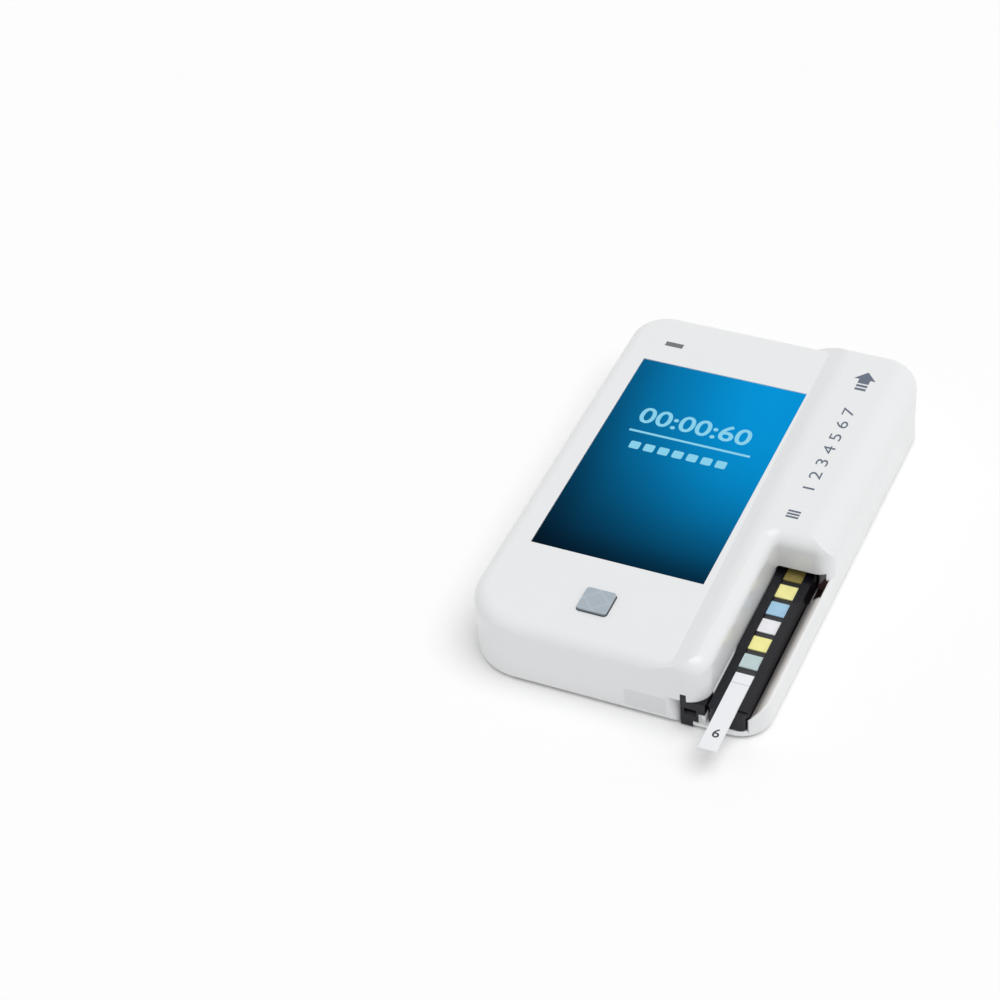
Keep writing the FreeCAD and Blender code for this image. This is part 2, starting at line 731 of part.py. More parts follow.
def make_bottom_cover():
    body = new_body("bottom_cover")
    add(body, "bottom_block", [lower_outline(as_size(0))], base_z, s.split_z)
    soften(body, "bottom_edge", level_at(base_z), s.base_edge, "Chamfer")
    soften(body, "shelf_edge", level_at(s.split_z), s.shelf_round)
    add(body, "joint_land", [upper_outline(as_size(0))], s.split_z - s.shelf_round - 0.1, s.split_z)
    inset_front = front_y + s.wall
    pocket_right = bay_left - s.wall
    cut(
        body,
        "main_pocket",
        [
            outline(
                (left_x + s.wall, inset_front, s.corner_fl - s.wall),
                (scoop_left - s.wall, inset_front),
                (scoop_left - s.wall, guide_back + s.wall),
                (pocket_right, guide_back + s.wall),
                (pocket_right, back_y - s.wall),
                (left_x + s.wall, back_y - s.wall, s.corner_bl - s.wall),
            )
        ],
        floor_z,
        s.split_z + 1,
    )
    drive_front = pinion_y - s.bracket_reach + 1.0
    drive_room = [rectangle(pocket_right - 1, bay_left + 1, drive_front, bay_back)]
    cut(body, "drive_pocket", drive_room, floor_z, s.split_z + 1)
    tray_room = [rectangle(bay_left, bay_right, front_y - 1, bay_back)]
    cut(body, "tray_bay", tray_room, channel_z, s.split_z + 1)
    guide_wall = guide_back + s.guide_gap
    bay_start = guide_left - s.guide_gap
    bay_step = guide_right + s.guide_gap
    cut(body, "guide_bay", [rectangle(bay_start, bay_step, front_y - 1, guide_wall)], floor_z, s.split_z + 1)
    cut(
        body,
        "guide_arm_bay",
        [rectangle(bay_step - 1, bay_left + 1, front_y - 1, guide_wall)],
        s.guide_arm_z - s.guide_gap,
        s.split_z + 1,
    )
    sill_right = guide_left + s.guide_sill + s.guide_gap
    sill_back = front_y + s.guide_sill_depth + s.guide_gap
    notch = [rectangle(bay_start, sill_right, front_y - 1, sill_back)]
    cut(body, "guide_sill_notch", notch, base_z - 1, floor_z + 1)
    make_scoop(body)
    make_trough(body)

    recess_w = s.battery_w + (s.battery_gap + s.door_side) * 2
    recess_l = s.battery_l + (s.battery_gap + s.door_end) * 2
    recess = centred(battery_x, battery_y, recess_w, recess_l)
    cut(body, "door_recess", [recess], base_z - 1, base_z + s.door_t)
    bay_w = s.battery_w + s.battery_gap * 2
    bay_l = s.battery_l + s.battery_gap * 2
    cut(body, "battery_bay", [centred(battery_x, battery_y, bay_w, bay_l)], base_z, floor_z + 1)

    case_posts = [hexagon(x, y, s.case_post_d) for x, y in case_screws[:3]]
    add(body, "case_posts_low", case_posts, floor_z - 1, s.split_z)
    add(body, "board_posts", [hexagon(x, y, s.post_d) for x, y in board_posts], floor_z - 1, s.board_z)
    add(body, "bracket_posts", [hexagon(x, y, s.post_d) for x, y in bracket_posts], floor_z - 1, bracket_z)
    add(body, "reader_post", [hexagon(*reader_post, s.door_post_d)], floor_z - 1, s.split_z)
    add(body, "pivot_boss", [disc(pinion_x, pinion_y, s.post_d)], floor_z - 1, floor_z + s.pivot_h)
    door_seats = [hexagon(x, y, s.door_post_d) for x, y in door_screws]
    add(body, "door_posts", door_seats, base_z + s.door_t + TINY, floor_z + s.door_post_h)

    pivot_hole = s.shaft_d + s.shaft_gap * 2
    cut(body, "pivot_hole", [disc(pinion_x, pinion_y, pivot_hole)], floor_z, floor_z + s.pivot_h + 1)
    board_bores = [hexagon(x, y, s.small_d) for x, y in board_posts]
    cut(body, "board_bores", board_bores, s.board_z - s.small_l, s.board_z + 1)
    bracket_bores = [hexagon(x, y, s.small_d) for x, y in bracket_posts]
    cut(body, "bracket_bores", bracket_bores, bracket_z - s.small_l, bracket_z + 1)
    cut(body, "reader_bore", [hexagon(*reader_post, s.small_d)], s.split_z - s.small_l, s.split_z + 1)
    door_bores = [hexagon(x, y, s.small_d) for x, y in door_screws]
    cut(body, "door_bores", door_bores, base_z, base_z + s.door_t + s.door_screw_l)
    case_bores = [hexagon(x, y, s.screw_d + 0.2) for x, y in case_screws]
    cut(body, "case_bores", case_bores, base_z - 1, s.split_z + 1)
    sink_top = base_z + s.screw_sink + s.screw_head_t
    cut(body, "case_sinks", [disc(x, y, s.sink_d) for x, y in case_screws], base_z - 1, sink_top)
    cut(body, "foot_recesses", [disc(x, y, s.foot_d) for x, y in feet], base_z - 1, base_z + s.foot_seat)


def cut_between(body, name, plane, ends):
    """Cuts the straight-sided form between two outlines, each with its level on the plane's row axis."""
    sections = [
        draw_all(body, f"{name}_{number}", plane, [corners], level)
        for number, (level, corners) in enumerate(ends, 1)
    ]
    loft = body.newObject("PartDesign::SubtractiveLoft", name)
    loft.Profile = sections[0]
    loft.Sections = [sections[1]]
    loft.Ruled = True
    cuts.append(loft)


def make_scoop(body):
    """The finger scoop is a slanting facet that deepens towards the guide block."""
    ends = []
    for level, start, depth in (
        (base_z - TINY, scoop_foot_left, s.scoop_foot_depth),
        (s.split_z + TINY, scoop_left, s.scoop_depth),
    ):
        edge = front_y - TINY
        ends.append((level, outline((start, edge), (guide_left, edge), (guide_left, front_y + depth))))
    cut_between(body, "finger_scoop", "XY", ends)


def make_trough(body):
    """A finger trough beside the tray, which widens and deepens towards the mouth and runs on inside it."""
    ends = []
    for level, width, depth in (
        (front_y - TINY, s.trough_out_w, s.trough_out_depth),
        (mouth_y + s.trough_in, s.trough_w, s.trough_depth),
    ):
        top = s.split_z + TINY
        corners = outline(
            (bay_right - s.tray_gap, top),
            (bay_right - s.tray_gap, s.split_z - depth),
            (bay_right + width / 4, s.split_z - depth),
            (bay_right + width, top),
        )
        ends.append((level, corners))
    cut_between(body, "finger_trough", "XZ", ends)


def make_guide_block():
    body = new_body("guide_block")
    front = tray_front
    back = guide_back
    arm_right = bay_left - s.guide_gap
    foot = [
        outline(
            (guide_left, floor_z),
            (guide_right, floor_z),
            (guide_right, s.guide_arm_z),
            (arm_right, s.guide_arm_z, s.guide_gap * 4),
            (arm_right, s.split_z - s.guide_gap),
            (guide_left, s.split_z - s.guide_gap),
        )
    ]
    add(body, "guide_foot", foot, front, back, plane="XZ")
    sill_top = floor_z + TINY
    sill = [rectangle(guide_left, guide_left + s.guide_sill, front, front_y + s.guide_sill_depth)]
    add(body, "guide_sill", sill, base_z + s.guide_gap, sill_top)
    tab = [
        rectangle(
            guide_left + s.guide_gap,
            guide_left + s.guide_gap + s.tab_w,
            front,
            front_y + s.wall,
        )
    ]
    add(body, "guide_tab", tab, s.split_z - s.guide_gap - TINY, s.split_z + s.tab_h)
    grip = [
        outline(
            (front - 1, floor_z + 1.2),
            (front + 1.6, floor_z + 2.8),
            (front + 1.6, s.guide_arm_z),
            (front - 1, s.guide_arm_z + 1.6),
        )
    ]
    cut(body, "guide_grip", grip, guide_left + 1.0, guide_right - 0.6, plane="YZ")


def make_screen():
    glass_w = screen_w - s.glass_gap * 2
    glass_l = screen_l - s.glass_gap * 2
    panel = new_body("touch_panel")
    add(panel, "touch_panel_pad", [centred(screen_x, screen_y, glass_w, glass_l)], ledge_z, ledge_z + s.glass_t)

    frame_w = screen_w + s.frame_lip * 2
    frame_l = screen_l + s.frame_lip * 2
    frame = new_body("display_frame")
    add(frame, "display_frame_pad", [centred(screen_x, screen_y, frame_w, frame_l)], rib_z - s.frame_t, rib_z)
    cell_w = frame_w - s.frame_rim * 2
    cell_l = frame_l - s.frame_rim * 2
    cut(frame, "display_frame_pocket", [centred(screen_x, screen_y, cell_w, cell_l)], rib_z - s.cell_t, rib_z + 1)

    cell = new_body("display_cell")
    add(
        cell,
        "display_cell_pad",
        [centred(screen_x, screen_y, cell_w - s.glass_gap * 2, cell_l - s.glass_gap * 2)],
        rib_z - s.cell_t,
        rib_z - 0.1,
    )


def make_home_button():
    body = new_body("home_button")
    flange_top = roof_z - 0.1
    flange_low = flange_top - s.flange_t
    wide = s.button_w + s.button_flange * 2
    add(body, "button_stem", [hexagon(button_x, button_y, s.stem_d)], flange_low - s.stem_l, flange_top)
    add(body, "button_flange_pad", [centred(button_x, button_y, wide, wide)], flange_low, flange_top)
    cap = centred(button_x, button_y, s.button_w, s.button_w, s.button_round)
    top = s.bezel_z + s.button_out
    add(body, "button_cap", [cap], flange_low + TINY, top)
    soften(body, "button_round_edge", level_at(top), s.button_edge)


def make_light_pipe():
    body = new_body("light_pipe")
    gap = s.pipe_gap * 2
    add(body, "pipe_stem", [centred(lamp_x, lamp_y, s.lamp_w - 2, s.lamp_l - gap)], s.pipe_end_z, roof_z)
    wide = s.lamp_w + s.pipe_flange * 2
    deep = s.lamp_l + s.pipe_flange * 2
    add(body, "pipe_flange_pad", [centred(lamp_x, lamp_y, wide, deep)], roof_z - s.pipe_flange_t, roof_z)
    add(body, "pipe_head", [centred(lamp_x, lamp_y, s.lamp_w - gap, s.lamp_l - gap)], roof_z - TINY, s.bezel_z)


def make_main_board():
    body = new_body("main_board")
    inner_left = board_left + s.notch_w
    board = outline(
        (inner_left, board_front),
        (board_right, board_front),
        (board_right, board_back),
        (inner_left, board_back),
        (inner_left, board_back - s.notch_back),
        (board_left, board_back - s.notch_back),
        (board_left, board_front + s.notch_front),
        (inner_left, board_front + s.notch_front),
    )
    add(body, "board_pad", [board], s.board_z, board_top)
    holes = [hexagon(x, y, s.small_d + 0.4) for x, y in board_posts]
    cut(body, "board_holes", holes, s.board_z - 1, board_top + 1)
    cut(body, "motor_notch", [disc(pinion_x, pinion_y, s.motor_d + 1.2)], s.board_z - 1, board_top + 1)


def make_board_parts():
    """What is soldered to the main board."""
    chip = new_body("processor_chip")
    add(chip, "chip_pad", [centred(screen_x, screen_y + s.can_l, s.chip_w, s.chip_w)], board_top, board_top + s.chip_t)
    soften(chip, "chip_edge", level_at(board_top + s.chip_t), as_size(0.2), "Chamfer")

    can = new_body("radio_shield")
    add(can, "can_pad", [centred(screen_x, screen_y - s.can_l, s.can_w, s.can_l)], board_top, board_top + s.can_t)
    inner_w, inner_l = s.can_w - s.can_skin * 2, s.can_l - s.can_skin * 2
    cut(
        can,
        "can_pocket",
        [centred(screen_x, screen_y - s.can_l, inner_w, inner_l)],
        board_top - 1,
        board_top + s.can_t - s.can_skin,
    )

    buzzer = new_body("buzzer")
    add(buzzer, "buzzer_pad", [disc(buzzer_x, button_y, s.buzzer_d)], board_top, board_top + s.buzzer_t)
    cut(
        buzzer,
        "buzzer_port",
        [disc(buzzer_x, button_y, s.buzzer_d / 5)],
        board_top + s.buzzer_t / 2,
        board_top + s.buzzer_t + 1,
    )

    plug = new_body("battery_socket")
    add(plug, "plug_pad", [centred(plug_x, button_y, s.plug_w, s.plug_l)], board_top, board_top + s.plug_t)
    cut(
        plug,
        "plug_pocket",
        [centred(plug_x, button_y - 0.8, s.plug_w - 1.6, s.plug_l)],
        board_top + 0.8,
        board_top + s.plug_t - 0.6,
    )

    key = new_body("push_switch")
    add(key, "key_body", [centred(button_x, button_y, s.key_w, s.key_w)], board_top, board_top + s.key_t)
    stem_end = roof_z - 0.1 - s.flange_t - s.stem_l
    plunger_top = stem_end - s.button_travel - s.key_clear
    add(key, "key_plunger", [disc(button_x, button_y, s.key_top_d)], board_top + s.key_t - TINY, plunger_top)

    diode = new_body("indicator_diode")
    add(diode, "diode_pad", [centred(lamp_x, lamp_y, s.lamp_w - 2, s.lamp_l - 0.4)], board_top, s.pipe_end_z - 0.3)

    usb = new_body("charging_socket")
    mouth = back_y - s.usb_sink
    usb_z = board_top + s.usb_t / 2
    add(usb, "usb_shell", [centred(screen_x, usb_z, s.usb_w, s.usb_t, s.usb_t / 4)], mouth - s.usb_l, mouth, plane="XZ")
    inside = centred(screen_x, usb_z, s.usb_w - s.usb_skin * 2, s.usb_t - s.usb_skin * 2, s.usb_t / 4 - s.usb_skin)
    cut(usb, "usb_mouth", [inside], mouth - s.usb_l + 0.6, mouth + 1, plane="XZ")
    tongue = centred(screen_x, usb_z + 0.3, s.usb_w - 3.2, as_size(0.6))
    add(usb, "usb_tongue", [tongue], mouth - s.usb_l + 0.6 - TINY, mouth - 1.2, plane="XZ")


def make_display_cable():
    frame_front = screen_y - screen_l / 2 - s.frame_lip
    level = rib_z - s.frame_t / 2
    header_y = frame_front - 7
    header_top = board_top + s.header_t
    header = new_body("display_socket")
    add(
        header,
        "header_pad",
        [centred(ribbon_x, header_y, s.ribbon_w + 3, s.header_l)],
        board_top,
        header_top,
    )
    cable = new_body("display_cable")
    thick = s.ribbon_t
    bend = header_y + s.header_l / 2
    add(
        cable,
        "ribbon",
        [
            outline(
                (frame_front, level),
                (frame_front, level + thick),
                (bend, level + thick),
                (header_y - thick, level - 0.8),
                (header_y - thick, header_top),
                (header_y, header_top),
                (header_y, level - 0.8 - thick),
                (bend, level),
            )
        ],
        ribbon_x - s.ribbon_w / 2,
        ribbon_x + s.ribbon_w / 2,
        plane="YZ",
    )


def make_battery():
    pack = new_body("battery_pack")
    low = base_z + s.door_t + 0.2
    add(pack, "battery_pad", [centred(battery_x, battery_y, s.battery_w, s.battery_l)], low, low + s.battery_t)
    soften(pack, "battery_edge", level_at(low + s.battery_t), as_size(0.8), "Chamfer")

    door = new_body("battery_door")
    door_w = s.battery_w + (s.battery_gap + s.door_side - s.door_gap) * 2
    door_l = s.battery_l + (s.battery_gap + s.door_end - s.door_gap) * 2
    add(door, "door_pad", [centred(battery_x, battery_y, door_w, door_l)], base_z, base_z + s.door_t)
    ridge_w = door_w / 3
    ridges = []
    for step in (-2, -1, 0, 1, 2):
        place = battery_y + as_size(2.4) * step
        ridges.append(centred(battery_x, place, ridge_w, as_size(1.0)))
    cut(door, "door_grip", ridges, base_z - 1, base_z + 0.4)
    cut(door, "door_holes", [hexagon(x, y, s.small_d + 0.2) for x, y in door_screws], base_z - 1, base_z + s.door_t + 1)
    sink = [disc(x, y, s.small_head_d + 0.3) for x, y in door_screws]
    cut(door, "door_sinks", sink, base_z - 1, base_z + s.small_head_t - 0.2)


def hexagon(x, y, width):
    """Outline: a regular hexagon, given across its corners."""
    turns = [math.radians(60 * step) for step in range(6)]
    half = as_size(width) / 2
    return outline(*[(x + half * math.cos(turn), y + half * math.sin(turn)) for turn in turns])


def cross(x, y, reach, half):
    """Outline: a cross recess."""
    steps = [
        (reach, -half), (reach, half), (half, half), (half, reach),
        (-half, reach), (-half, half), (-reach, half), (-reach, -half),
        (-half, -half), (-half, -reach), (half, -reach), (half, -half),
    ]
    return outline(*[(x + across, y + along) for across, along in steps])


def outer_screw(body, name, x, y, seat, length, shank, head_d, head_t):
    """A screw that is driven from below, with a round head and a cross recess."""
    add(body, name + "_shank", [hexagon(x, y, shank)], seat, seat + length)
    add(body, name + "_head", [disc(x, y, head_d)], seat - head_t, seat + TINY)
    recess = cross(x, y, head_d * 0.3, head_d * 0.09)
    cut(body, name + "_cross", [recess], seat - head_t - 1, seat - head_t / 2)


def inner_screw(body, name, x, y, seat, length, shank, head_d, head_t):
    """A six-sided screw that is driven from above."""
    add(body, name + "_shank", [hexagon(x, y, shank)], seat - length, seat)
    add(body, name + "_head", [hexagon(x, y, head_d)], seat, seat + head_t)


def make_screws():
    """Each kind of screw is one group of separate solids."""
    case_seat = base_z + s.screw_sink + s.screw_head_t
    door_seat = base_z + s.small_head_t - 0.2
    small = (s.small_l, s.small_d, s.small_head_d, s.small_head_t)
    case = (s.screw_l, s.screw_d, s.screw_head_d, s.screw_head_t)
    door = (s.door_screw_l, s.small_d, s.small_head_d, s.small_head_t - 0.3)
    groups = [
        ("case_screws", outer_screw, case_screws, case_seat, case),
        ("door_screws", outer_screw, door_screws, door_seat, door),
        ("board_screws", inner_screw, board_posts, board_top, small),
        ("bracket_screws", inner_screw, bracket_posts, bracket_z + s.bracket_t, small),
        ("reader_screws", inner_screw, [reader_post], s.split_z + s.reader_ear_t, small),
    ]
    for label, draw, places, seat, sizes in groups:
        screws = []
        for number, (x, y) in enumerate(places, 1):
            body = new_body(f"{label}_{number}")
            draw(body, f"{label}_{number}", x, y, seat, *sizes)
            screws.append(body)
        gather(label, screws)


def gather(label, pieces):
    group = doc.addObject("Part::Compound", label)
    group.Links = pieces
    group.Label = label


def make_feet():
    pads = []
    for number, (x, y) in enumerate(feet, 1):
        body = new_body(f"rubber_foot_{number}")
        add(body, f"foot_{number}", [disc(x, y, s.foot_d - 0.1)], as_size(0), base_z + s.foot_seat)
        soften(body, f"foot_{number}_edge", level_at(as_size(0)), s.foot_edge, "Chamfer")
        pads.append(body)
    gather("rubber_feet", pads)


def make_strip_tray():
    body = new_body("strip_tray")
    nose = s.tray_nose
    plan = outline(
        (tray_left, tray_front, nose),
        (tray_right, tray_front, nose),
        (tray_right, tray_back),
        (tray_left, tray_back),
    )
    add(body, "tray_block", [plan], tray_z, s.strip_bed_z)
    rail_top = s.strip_bed_z + s.rail_h
    groove = s.strip_w / 2 + s.rail_gap
    sides = (
        ("left_rail", tray_left, tray_x - groove, tray_front + s.rail_left_start),
        ("right_rail", tray_x + groove, tray_right, tray_front + s.rail_right_start),
    )
    for name, low, high, start in sides:
        side_view = outline(
            (start, s.strip_bed_z - TINY),
            (tray_back, s.strip_bed_z - TINY),
            (tray_back, rail_top),
            (start + s.rail_ramp, rail_top),
        )
        add(body, name, [side_view], low, high, plane="YZ")
    lip_end = tray_front + s.rail_right_start + s.rail_ramp
    lip = [rectangle(tray_x + groove, tray_right, tray_front + nose, lip_end)]
    add(body, "front_lip", lip, s.strip_bed_z - TINY, s.strip_bed_z + s.lip_h)
    hollow = rectangle(
        tray_left + s.tray_rack_wall,
        tray_right - s.tray_skin,
        tray_front + s.tray_skin * 2,
        tray_back - s.tray_skin,
    )
    cut(body, "tray_hollow", [hollow], tray_z - 1, s.strip_bed_z - s.tray_top)
    cut(body, "rack_gaps", rack_gaps(), tray_z - 1, tray_z + s.rack_top)


def rack_gaps():
    """Gaps between the rack's teeth, cut into the tray's left side, with 20 degree flanks."""
    slant = math.tan(math.radians(20))
    pitch = math.pi * s.gear_module
    half_pitch_gap = pitch / 4 + s.gear_backlash / 2
    depth = s.gear_module * 1.25
    mouth = half_pitch_gap + s.gear_module * slant + 0.0
    bottom = half_pitch_gap - depth * slant
    count = int(round((value_of(tray_travel) + 2 * value_of(s.rack_spare)) / value_of(pitch)))
    first = -int(round((value_of(tray_travel) + value_of(s.rack_spare)) / value_of(pitch)))
    gaps = []
    outside = 0.2
    for number in range(first, first + count):
        middle = pinion_y + pitch * number
        wide = mouth + outside * slant
        gaps.append(
            outline(
                (tray_left - outside, middle - wide),
                (rack_pitch_x + depth, middle - bottom),
                (rack_pitch_x + depth, middle + bottom),
                (tray_left - outside, middle + wide),
            )
        )
    return gaps


def make_pinion():
    """A 14-tooth pinion. One tooth points at the rack's gap at rest. Its flanks are straight runs
    between the root, pitch and tip circles, thinned by the backlash."""
    body = new_body("drive_pinion")
    low = tray_z + s.pinion_lift
    high = low + s.pinion_t
    root = pitch_radius - s.gear_module * 1.2
    tip = pitch_radius + s.gear_module * 0.9
    step = 360.0 / PINION_TEETH
    half_pitch = math.pi * s.gear_module / 4 - s.gear_backlash / 2
    widths = (
        (root, half_pitch * 1.32),
        (pitch_radius, half_pitch),
        (tip, half_pitch * 0.42),
    )
    corners = []
    for tooth in range(PINION_TEETH):
        turn = math.radians(step * tooth)
        along = (math.cos(turn), math.sin(turn))
        flank = [(radius, -width) for radius, width in widths]
        flank += [(radius, width) for radius, width in reversed(widths)]
        for radius, side in flank:
            x = pinion_x + radius * along[0] - side * along[1]
            y = pinion_y + radius * along[1] + side * along[0]
            corners.append((x, y))
    add(body, "pinion_teeth", [outline(*corners)], low, high)
    shaft_top = bracket_z + s.bracket_t + s.shaft_in
    add(body, "pinion_shaft", [disc(pinion_x, pinion_y, s.shaft_d)], floor_z + 0.3, shaft_top)


def make_drive():
    motor = new_body("drive_motor")
    low = bracket_z + s.bracket_t
    add(motor, "motor_can", [disc(pinion_x, pinion_y, s.motor_d)], low, low + s.motor_t)
    soften(motor, "motor_edge", level_at(low + s.motor_t), as_size(0.8), "Chamfer")
    collar = disc(pinion_x, pinion_y, s.motor_collar_d)
    add(motor, "motor_collar", [collar], low - s.bracket_t, low + TINY)
    bore = s.shaft_d + s.shaft_gap * 2
    cut(motor, "motor_bore", [disc(pinion_x, pinion_y, bore)], low - s.bracket_t - 1, low + s.shaft_in + 0.4)

    bracket = new_body("motor_bracket")
    ends = s.bracket_reach + s.post_d / 2
    plate = rectangle(
        pinion_x - s.bracket_left,
        pinion_x + s.bracket_right,
        pinion_y - ends,
        pinion_y + ends,
    )
    add(bracket, "bracket_sheet", [plate], bracket_z, bracket_z + s.bracket_t)
    holes = [hexagon(x, y, s.small_d + 0.4) for x, y in bracket_posts]
    holes.append(disc(pinion_x, pinion_y, s.motor_collar_d + 0.2))
    cut(bracket, "bracket_holes", holes, bracket_z - 1, bracket_z + s.bracket_t + 1)


def make_reader():
    """The optical reader stands astride the tray on two feet, behind the mouth."""
    front = reader_back - s.reader_l
    left = bay_left - s.reader_foot
    right = bay_right + s.reader_toe
    chamber_z = s.split_z + s.reader_clear
    housing = new_body("reader_housing")
    bridge = outline(
        (left, s.split_z),
        (bay_left, s.split_z),
        (bay_left, chamber_z),
        (bay_right, chamber_z),
        (bay_right, s.split_z),
        (right, s.split_z),
        (right, s.reader_top_z),
        (left, s.reader_top_z),
    )
    add(housing, "reader_bridge", [bridge], front, reader_back, plane="XZ")
    ear = rectangle(
        reader_ear_x,
        left + TINY,
        reader_y - s.reader_ear_l / 2,
        reader_y + s.reader_ear_l / 2,
    )
    add(housing, "reader_ear", [ear], s.split_z, s.split_z + s.reader_ear_t)
    chamber = rectangle(
        left + s.reader_skin,
        right - s.reader_skin,
        front + s.reader_skin,
        reader_back - s.reader_skin,
    )
    chamber_floor = chamber_z + s.window_t + s.reader_skin
    cut(housing, "reader_chamber", [chamber], chamber_floor, s.reader_top_z + 1)
    cut(
        housing,
        "window_rebate",
        [centred(tray_x, reader_y, s.window_w, s.window_l)],
        chamber_z - 1,
        chamber_z + s.window_t,
    )
    clear_w = s.window_w - s.window_lip * 2
    clear_l = s.window_l - s.window_lip * 2
    cut(housing, "window_opening", [centred(tray_x, reader_y, clear_w, clear_l)], chamber_z, chamber_floor + 1)
    ear_hole = hexagon(*reader_post, s.small_d + 0.4)
    cut(housing, "ear_hole", [ear_hole], s.split_z - 1, s.split_z + s.reader_ear_t + 1)

    window = new_body("reader_window")
    add(
        window,
        "window_pad",
        [centred(tray_x, reader_y, s.window_w - 0.1, s.window_l - 0.1)],
        chamber_z,
        chamber_z + s.window_t,
    )

    board = new_body("reader_board")
    plan = rectangle(left, right - s.reader_skin, front, reader_back)
    add(board, "reader_board_pad", [plan], s.reader_top_z, s.reader_top_z + s.reader_board_t)

    lens = new_body("reader_lens")
    add(lens, "lens_barrel", [disc(tray_x, reader_y, s.lens_d)], s.reader_top_z - s.lens_l, s.reader_top_z)
    lens_bore = disc(tray_x, reader_y, s.lens_d * 0.6)
    cut(lens, "lens_bore", [lens_bore], s.reader_top_z - s.lens_l - 1, s.reader_top_z - s.lens_l + 0.8)

    diodes = []
    for number, sign in enumerate((-1, 1), 1):
        body = new_body(f"reader_diode_{number}")
        x = tray_x + (s.lens_d / 2 + s.diode_w) * sign
        add(
            body,
            f"reader_diode_{number}_pad",
            [centred(x, reader_y, s.diode_w, s.diode_w)],
            s.reader_top_z - s.diode_t,
            s.reader_top_z,
        )
        diodes.append(body)
    gather("reader_diodes", diodes)


def make_strip():
    """A plastic strip with its row of reagent pads. The first pad is next to the handle."""
    strip_front = front_y - s.strip_out
    low = s.strip_bed_z
    strip = new_body("test_strip")
    half = s.strip_w / 2
    add(
        strip,
        "strip_film",
        [rectangle(tray_x - half, tray_x + half, strip_front, strip_front + s.strip_l)],
        low,
        low + s.strip_t,
    )
    pads = []
    for number in range(PAD_COUNT):
        start = strip_front + s.pad_start + s.pad_pitch * number
        body = new_body(f"reagent_pad_{number + 1}")
        plan = rectangle(tray_x - half, tray_x + half, start, start + s.pad_l)
        add(body, f"pad_{number + 1}", [plan], low + s.strip_t, low + s.strip_t + s.pad_t)
        pads.append(body)
    gather("reagent_pads", pads)


NODES = [
    "top_cover", "bottom_cover", "guide_block", "touch_panel", "display_frame", "display_cell",
    "home_button", "light_pipe", "main_board", "processor_chip", "radio_shield", "buzzer",
    "battery_socket", "push_switch", "indicator_diode", "charging_socket", "display_socket",
    "display_cable", "battery_pack", "battery_door", "case_screws", "board_screws",
    "bracket_screws", "door_screws", "reader_screws", "rubber_feet", "strip_tray",
    "drive_pinion", "drive_motor", "motor_bracket", "reader_housing", "reader_window",
    "reader_board", "reader_lens", "reader_diodes", "test_strip", "reagent_pads",
]


def build():
    make_top_cover()
    make_bottom_cover()
    make_guide_block()
    make_screen()
    make_home_button()
    make_light_pipe()
    make_main_board()
    make_board_parts()
    make_display_cable()
    make_battery()
    make_screws()
    make_feet()
    make_strip_tray()
    make_pinion()
    make_drive()
    make_reader()
    make_strip()
    doc.recompute()


def check_and_write():
    faults = [item.Name for item in doc.Objects if "Invalid" in item.State or "Error" in item.State]
    if faults:
        raise RuntimeError(f"failed objects: {faults}")
    for feature in cuts:
        before = feature.BaseFeature.Shape.Volume
        if feature.Shape.Volume > before - TINY:
            raise RuntimeError(f"{feature.Name} cuts nothing")
    os.makedirs("parts", exist_ok=True)
    for label in NODES:
        shape = doc.getObjectsByLabel(label)[0].Shape
        if shape.isNull() or not shape.isValid() or not shape.Solids:
            raise RuntimeError(f"{label} has no valid solid")
        shape.exportStep(f"parts/{label}.step")
        box = shape.BoundBox
        print(
            f"{label:16} solids {len(shape.Solids):2} volume {shape.Volume:9.1f} "
            f"x {box.XMin:7.2f} {box.XMax:7.2f} y {box.YMin:7.2f} {box.YMax:7.2f} z {box.ZMin:6.2f} {box.ZMax:6.2f}"
        )


build()
check_and_write()
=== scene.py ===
"""A handheld urine analyzer with its test strip on the tray, lit as in a studio.

Lengths are in millimetres and turned to metres by MM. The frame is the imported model's: the origin lies
under the middle, +Y points to the back and +Z up."""

import math

import bmesh
import bpy
from mathutils import Matrix, Vector


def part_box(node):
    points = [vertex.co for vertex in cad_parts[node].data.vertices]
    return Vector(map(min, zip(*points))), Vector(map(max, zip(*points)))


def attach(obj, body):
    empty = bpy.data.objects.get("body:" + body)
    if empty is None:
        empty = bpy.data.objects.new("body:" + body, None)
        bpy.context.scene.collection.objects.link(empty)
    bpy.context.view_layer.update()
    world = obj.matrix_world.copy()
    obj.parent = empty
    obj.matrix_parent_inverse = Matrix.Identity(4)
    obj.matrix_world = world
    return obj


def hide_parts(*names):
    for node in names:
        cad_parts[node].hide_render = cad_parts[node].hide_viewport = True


MM = 0.001
PRINT_SUNK = 0.02
PRINT_PROUD = 0.02
FIGURE_SHARE = 0.7
SHELF_TOP = 9.0

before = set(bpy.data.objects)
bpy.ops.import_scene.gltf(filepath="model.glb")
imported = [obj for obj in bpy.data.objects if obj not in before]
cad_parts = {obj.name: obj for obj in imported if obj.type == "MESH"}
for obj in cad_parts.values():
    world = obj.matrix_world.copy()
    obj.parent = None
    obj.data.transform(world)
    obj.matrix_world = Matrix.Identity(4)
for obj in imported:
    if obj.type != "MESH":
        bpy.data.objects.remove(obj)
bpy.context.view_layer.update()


def corners_of(node):
    """A node's lowest and highest corner in millimetres."""
    low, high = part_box(node)
    return Vector(low) / MM, Vector(high) / MM


def shade(red, green, blue):
    """A colour as the eye sees it in plain light, from 0 to 255, turned to what a shader takes."""
    channels = []
    for channel in (red, green, blue):
        level = channel / 255
        channels.append(level / 12.92 if level < 0.04045 else ((level + 0.055) / 1.055) ** 2.4)
    return (*channels, 1.0)


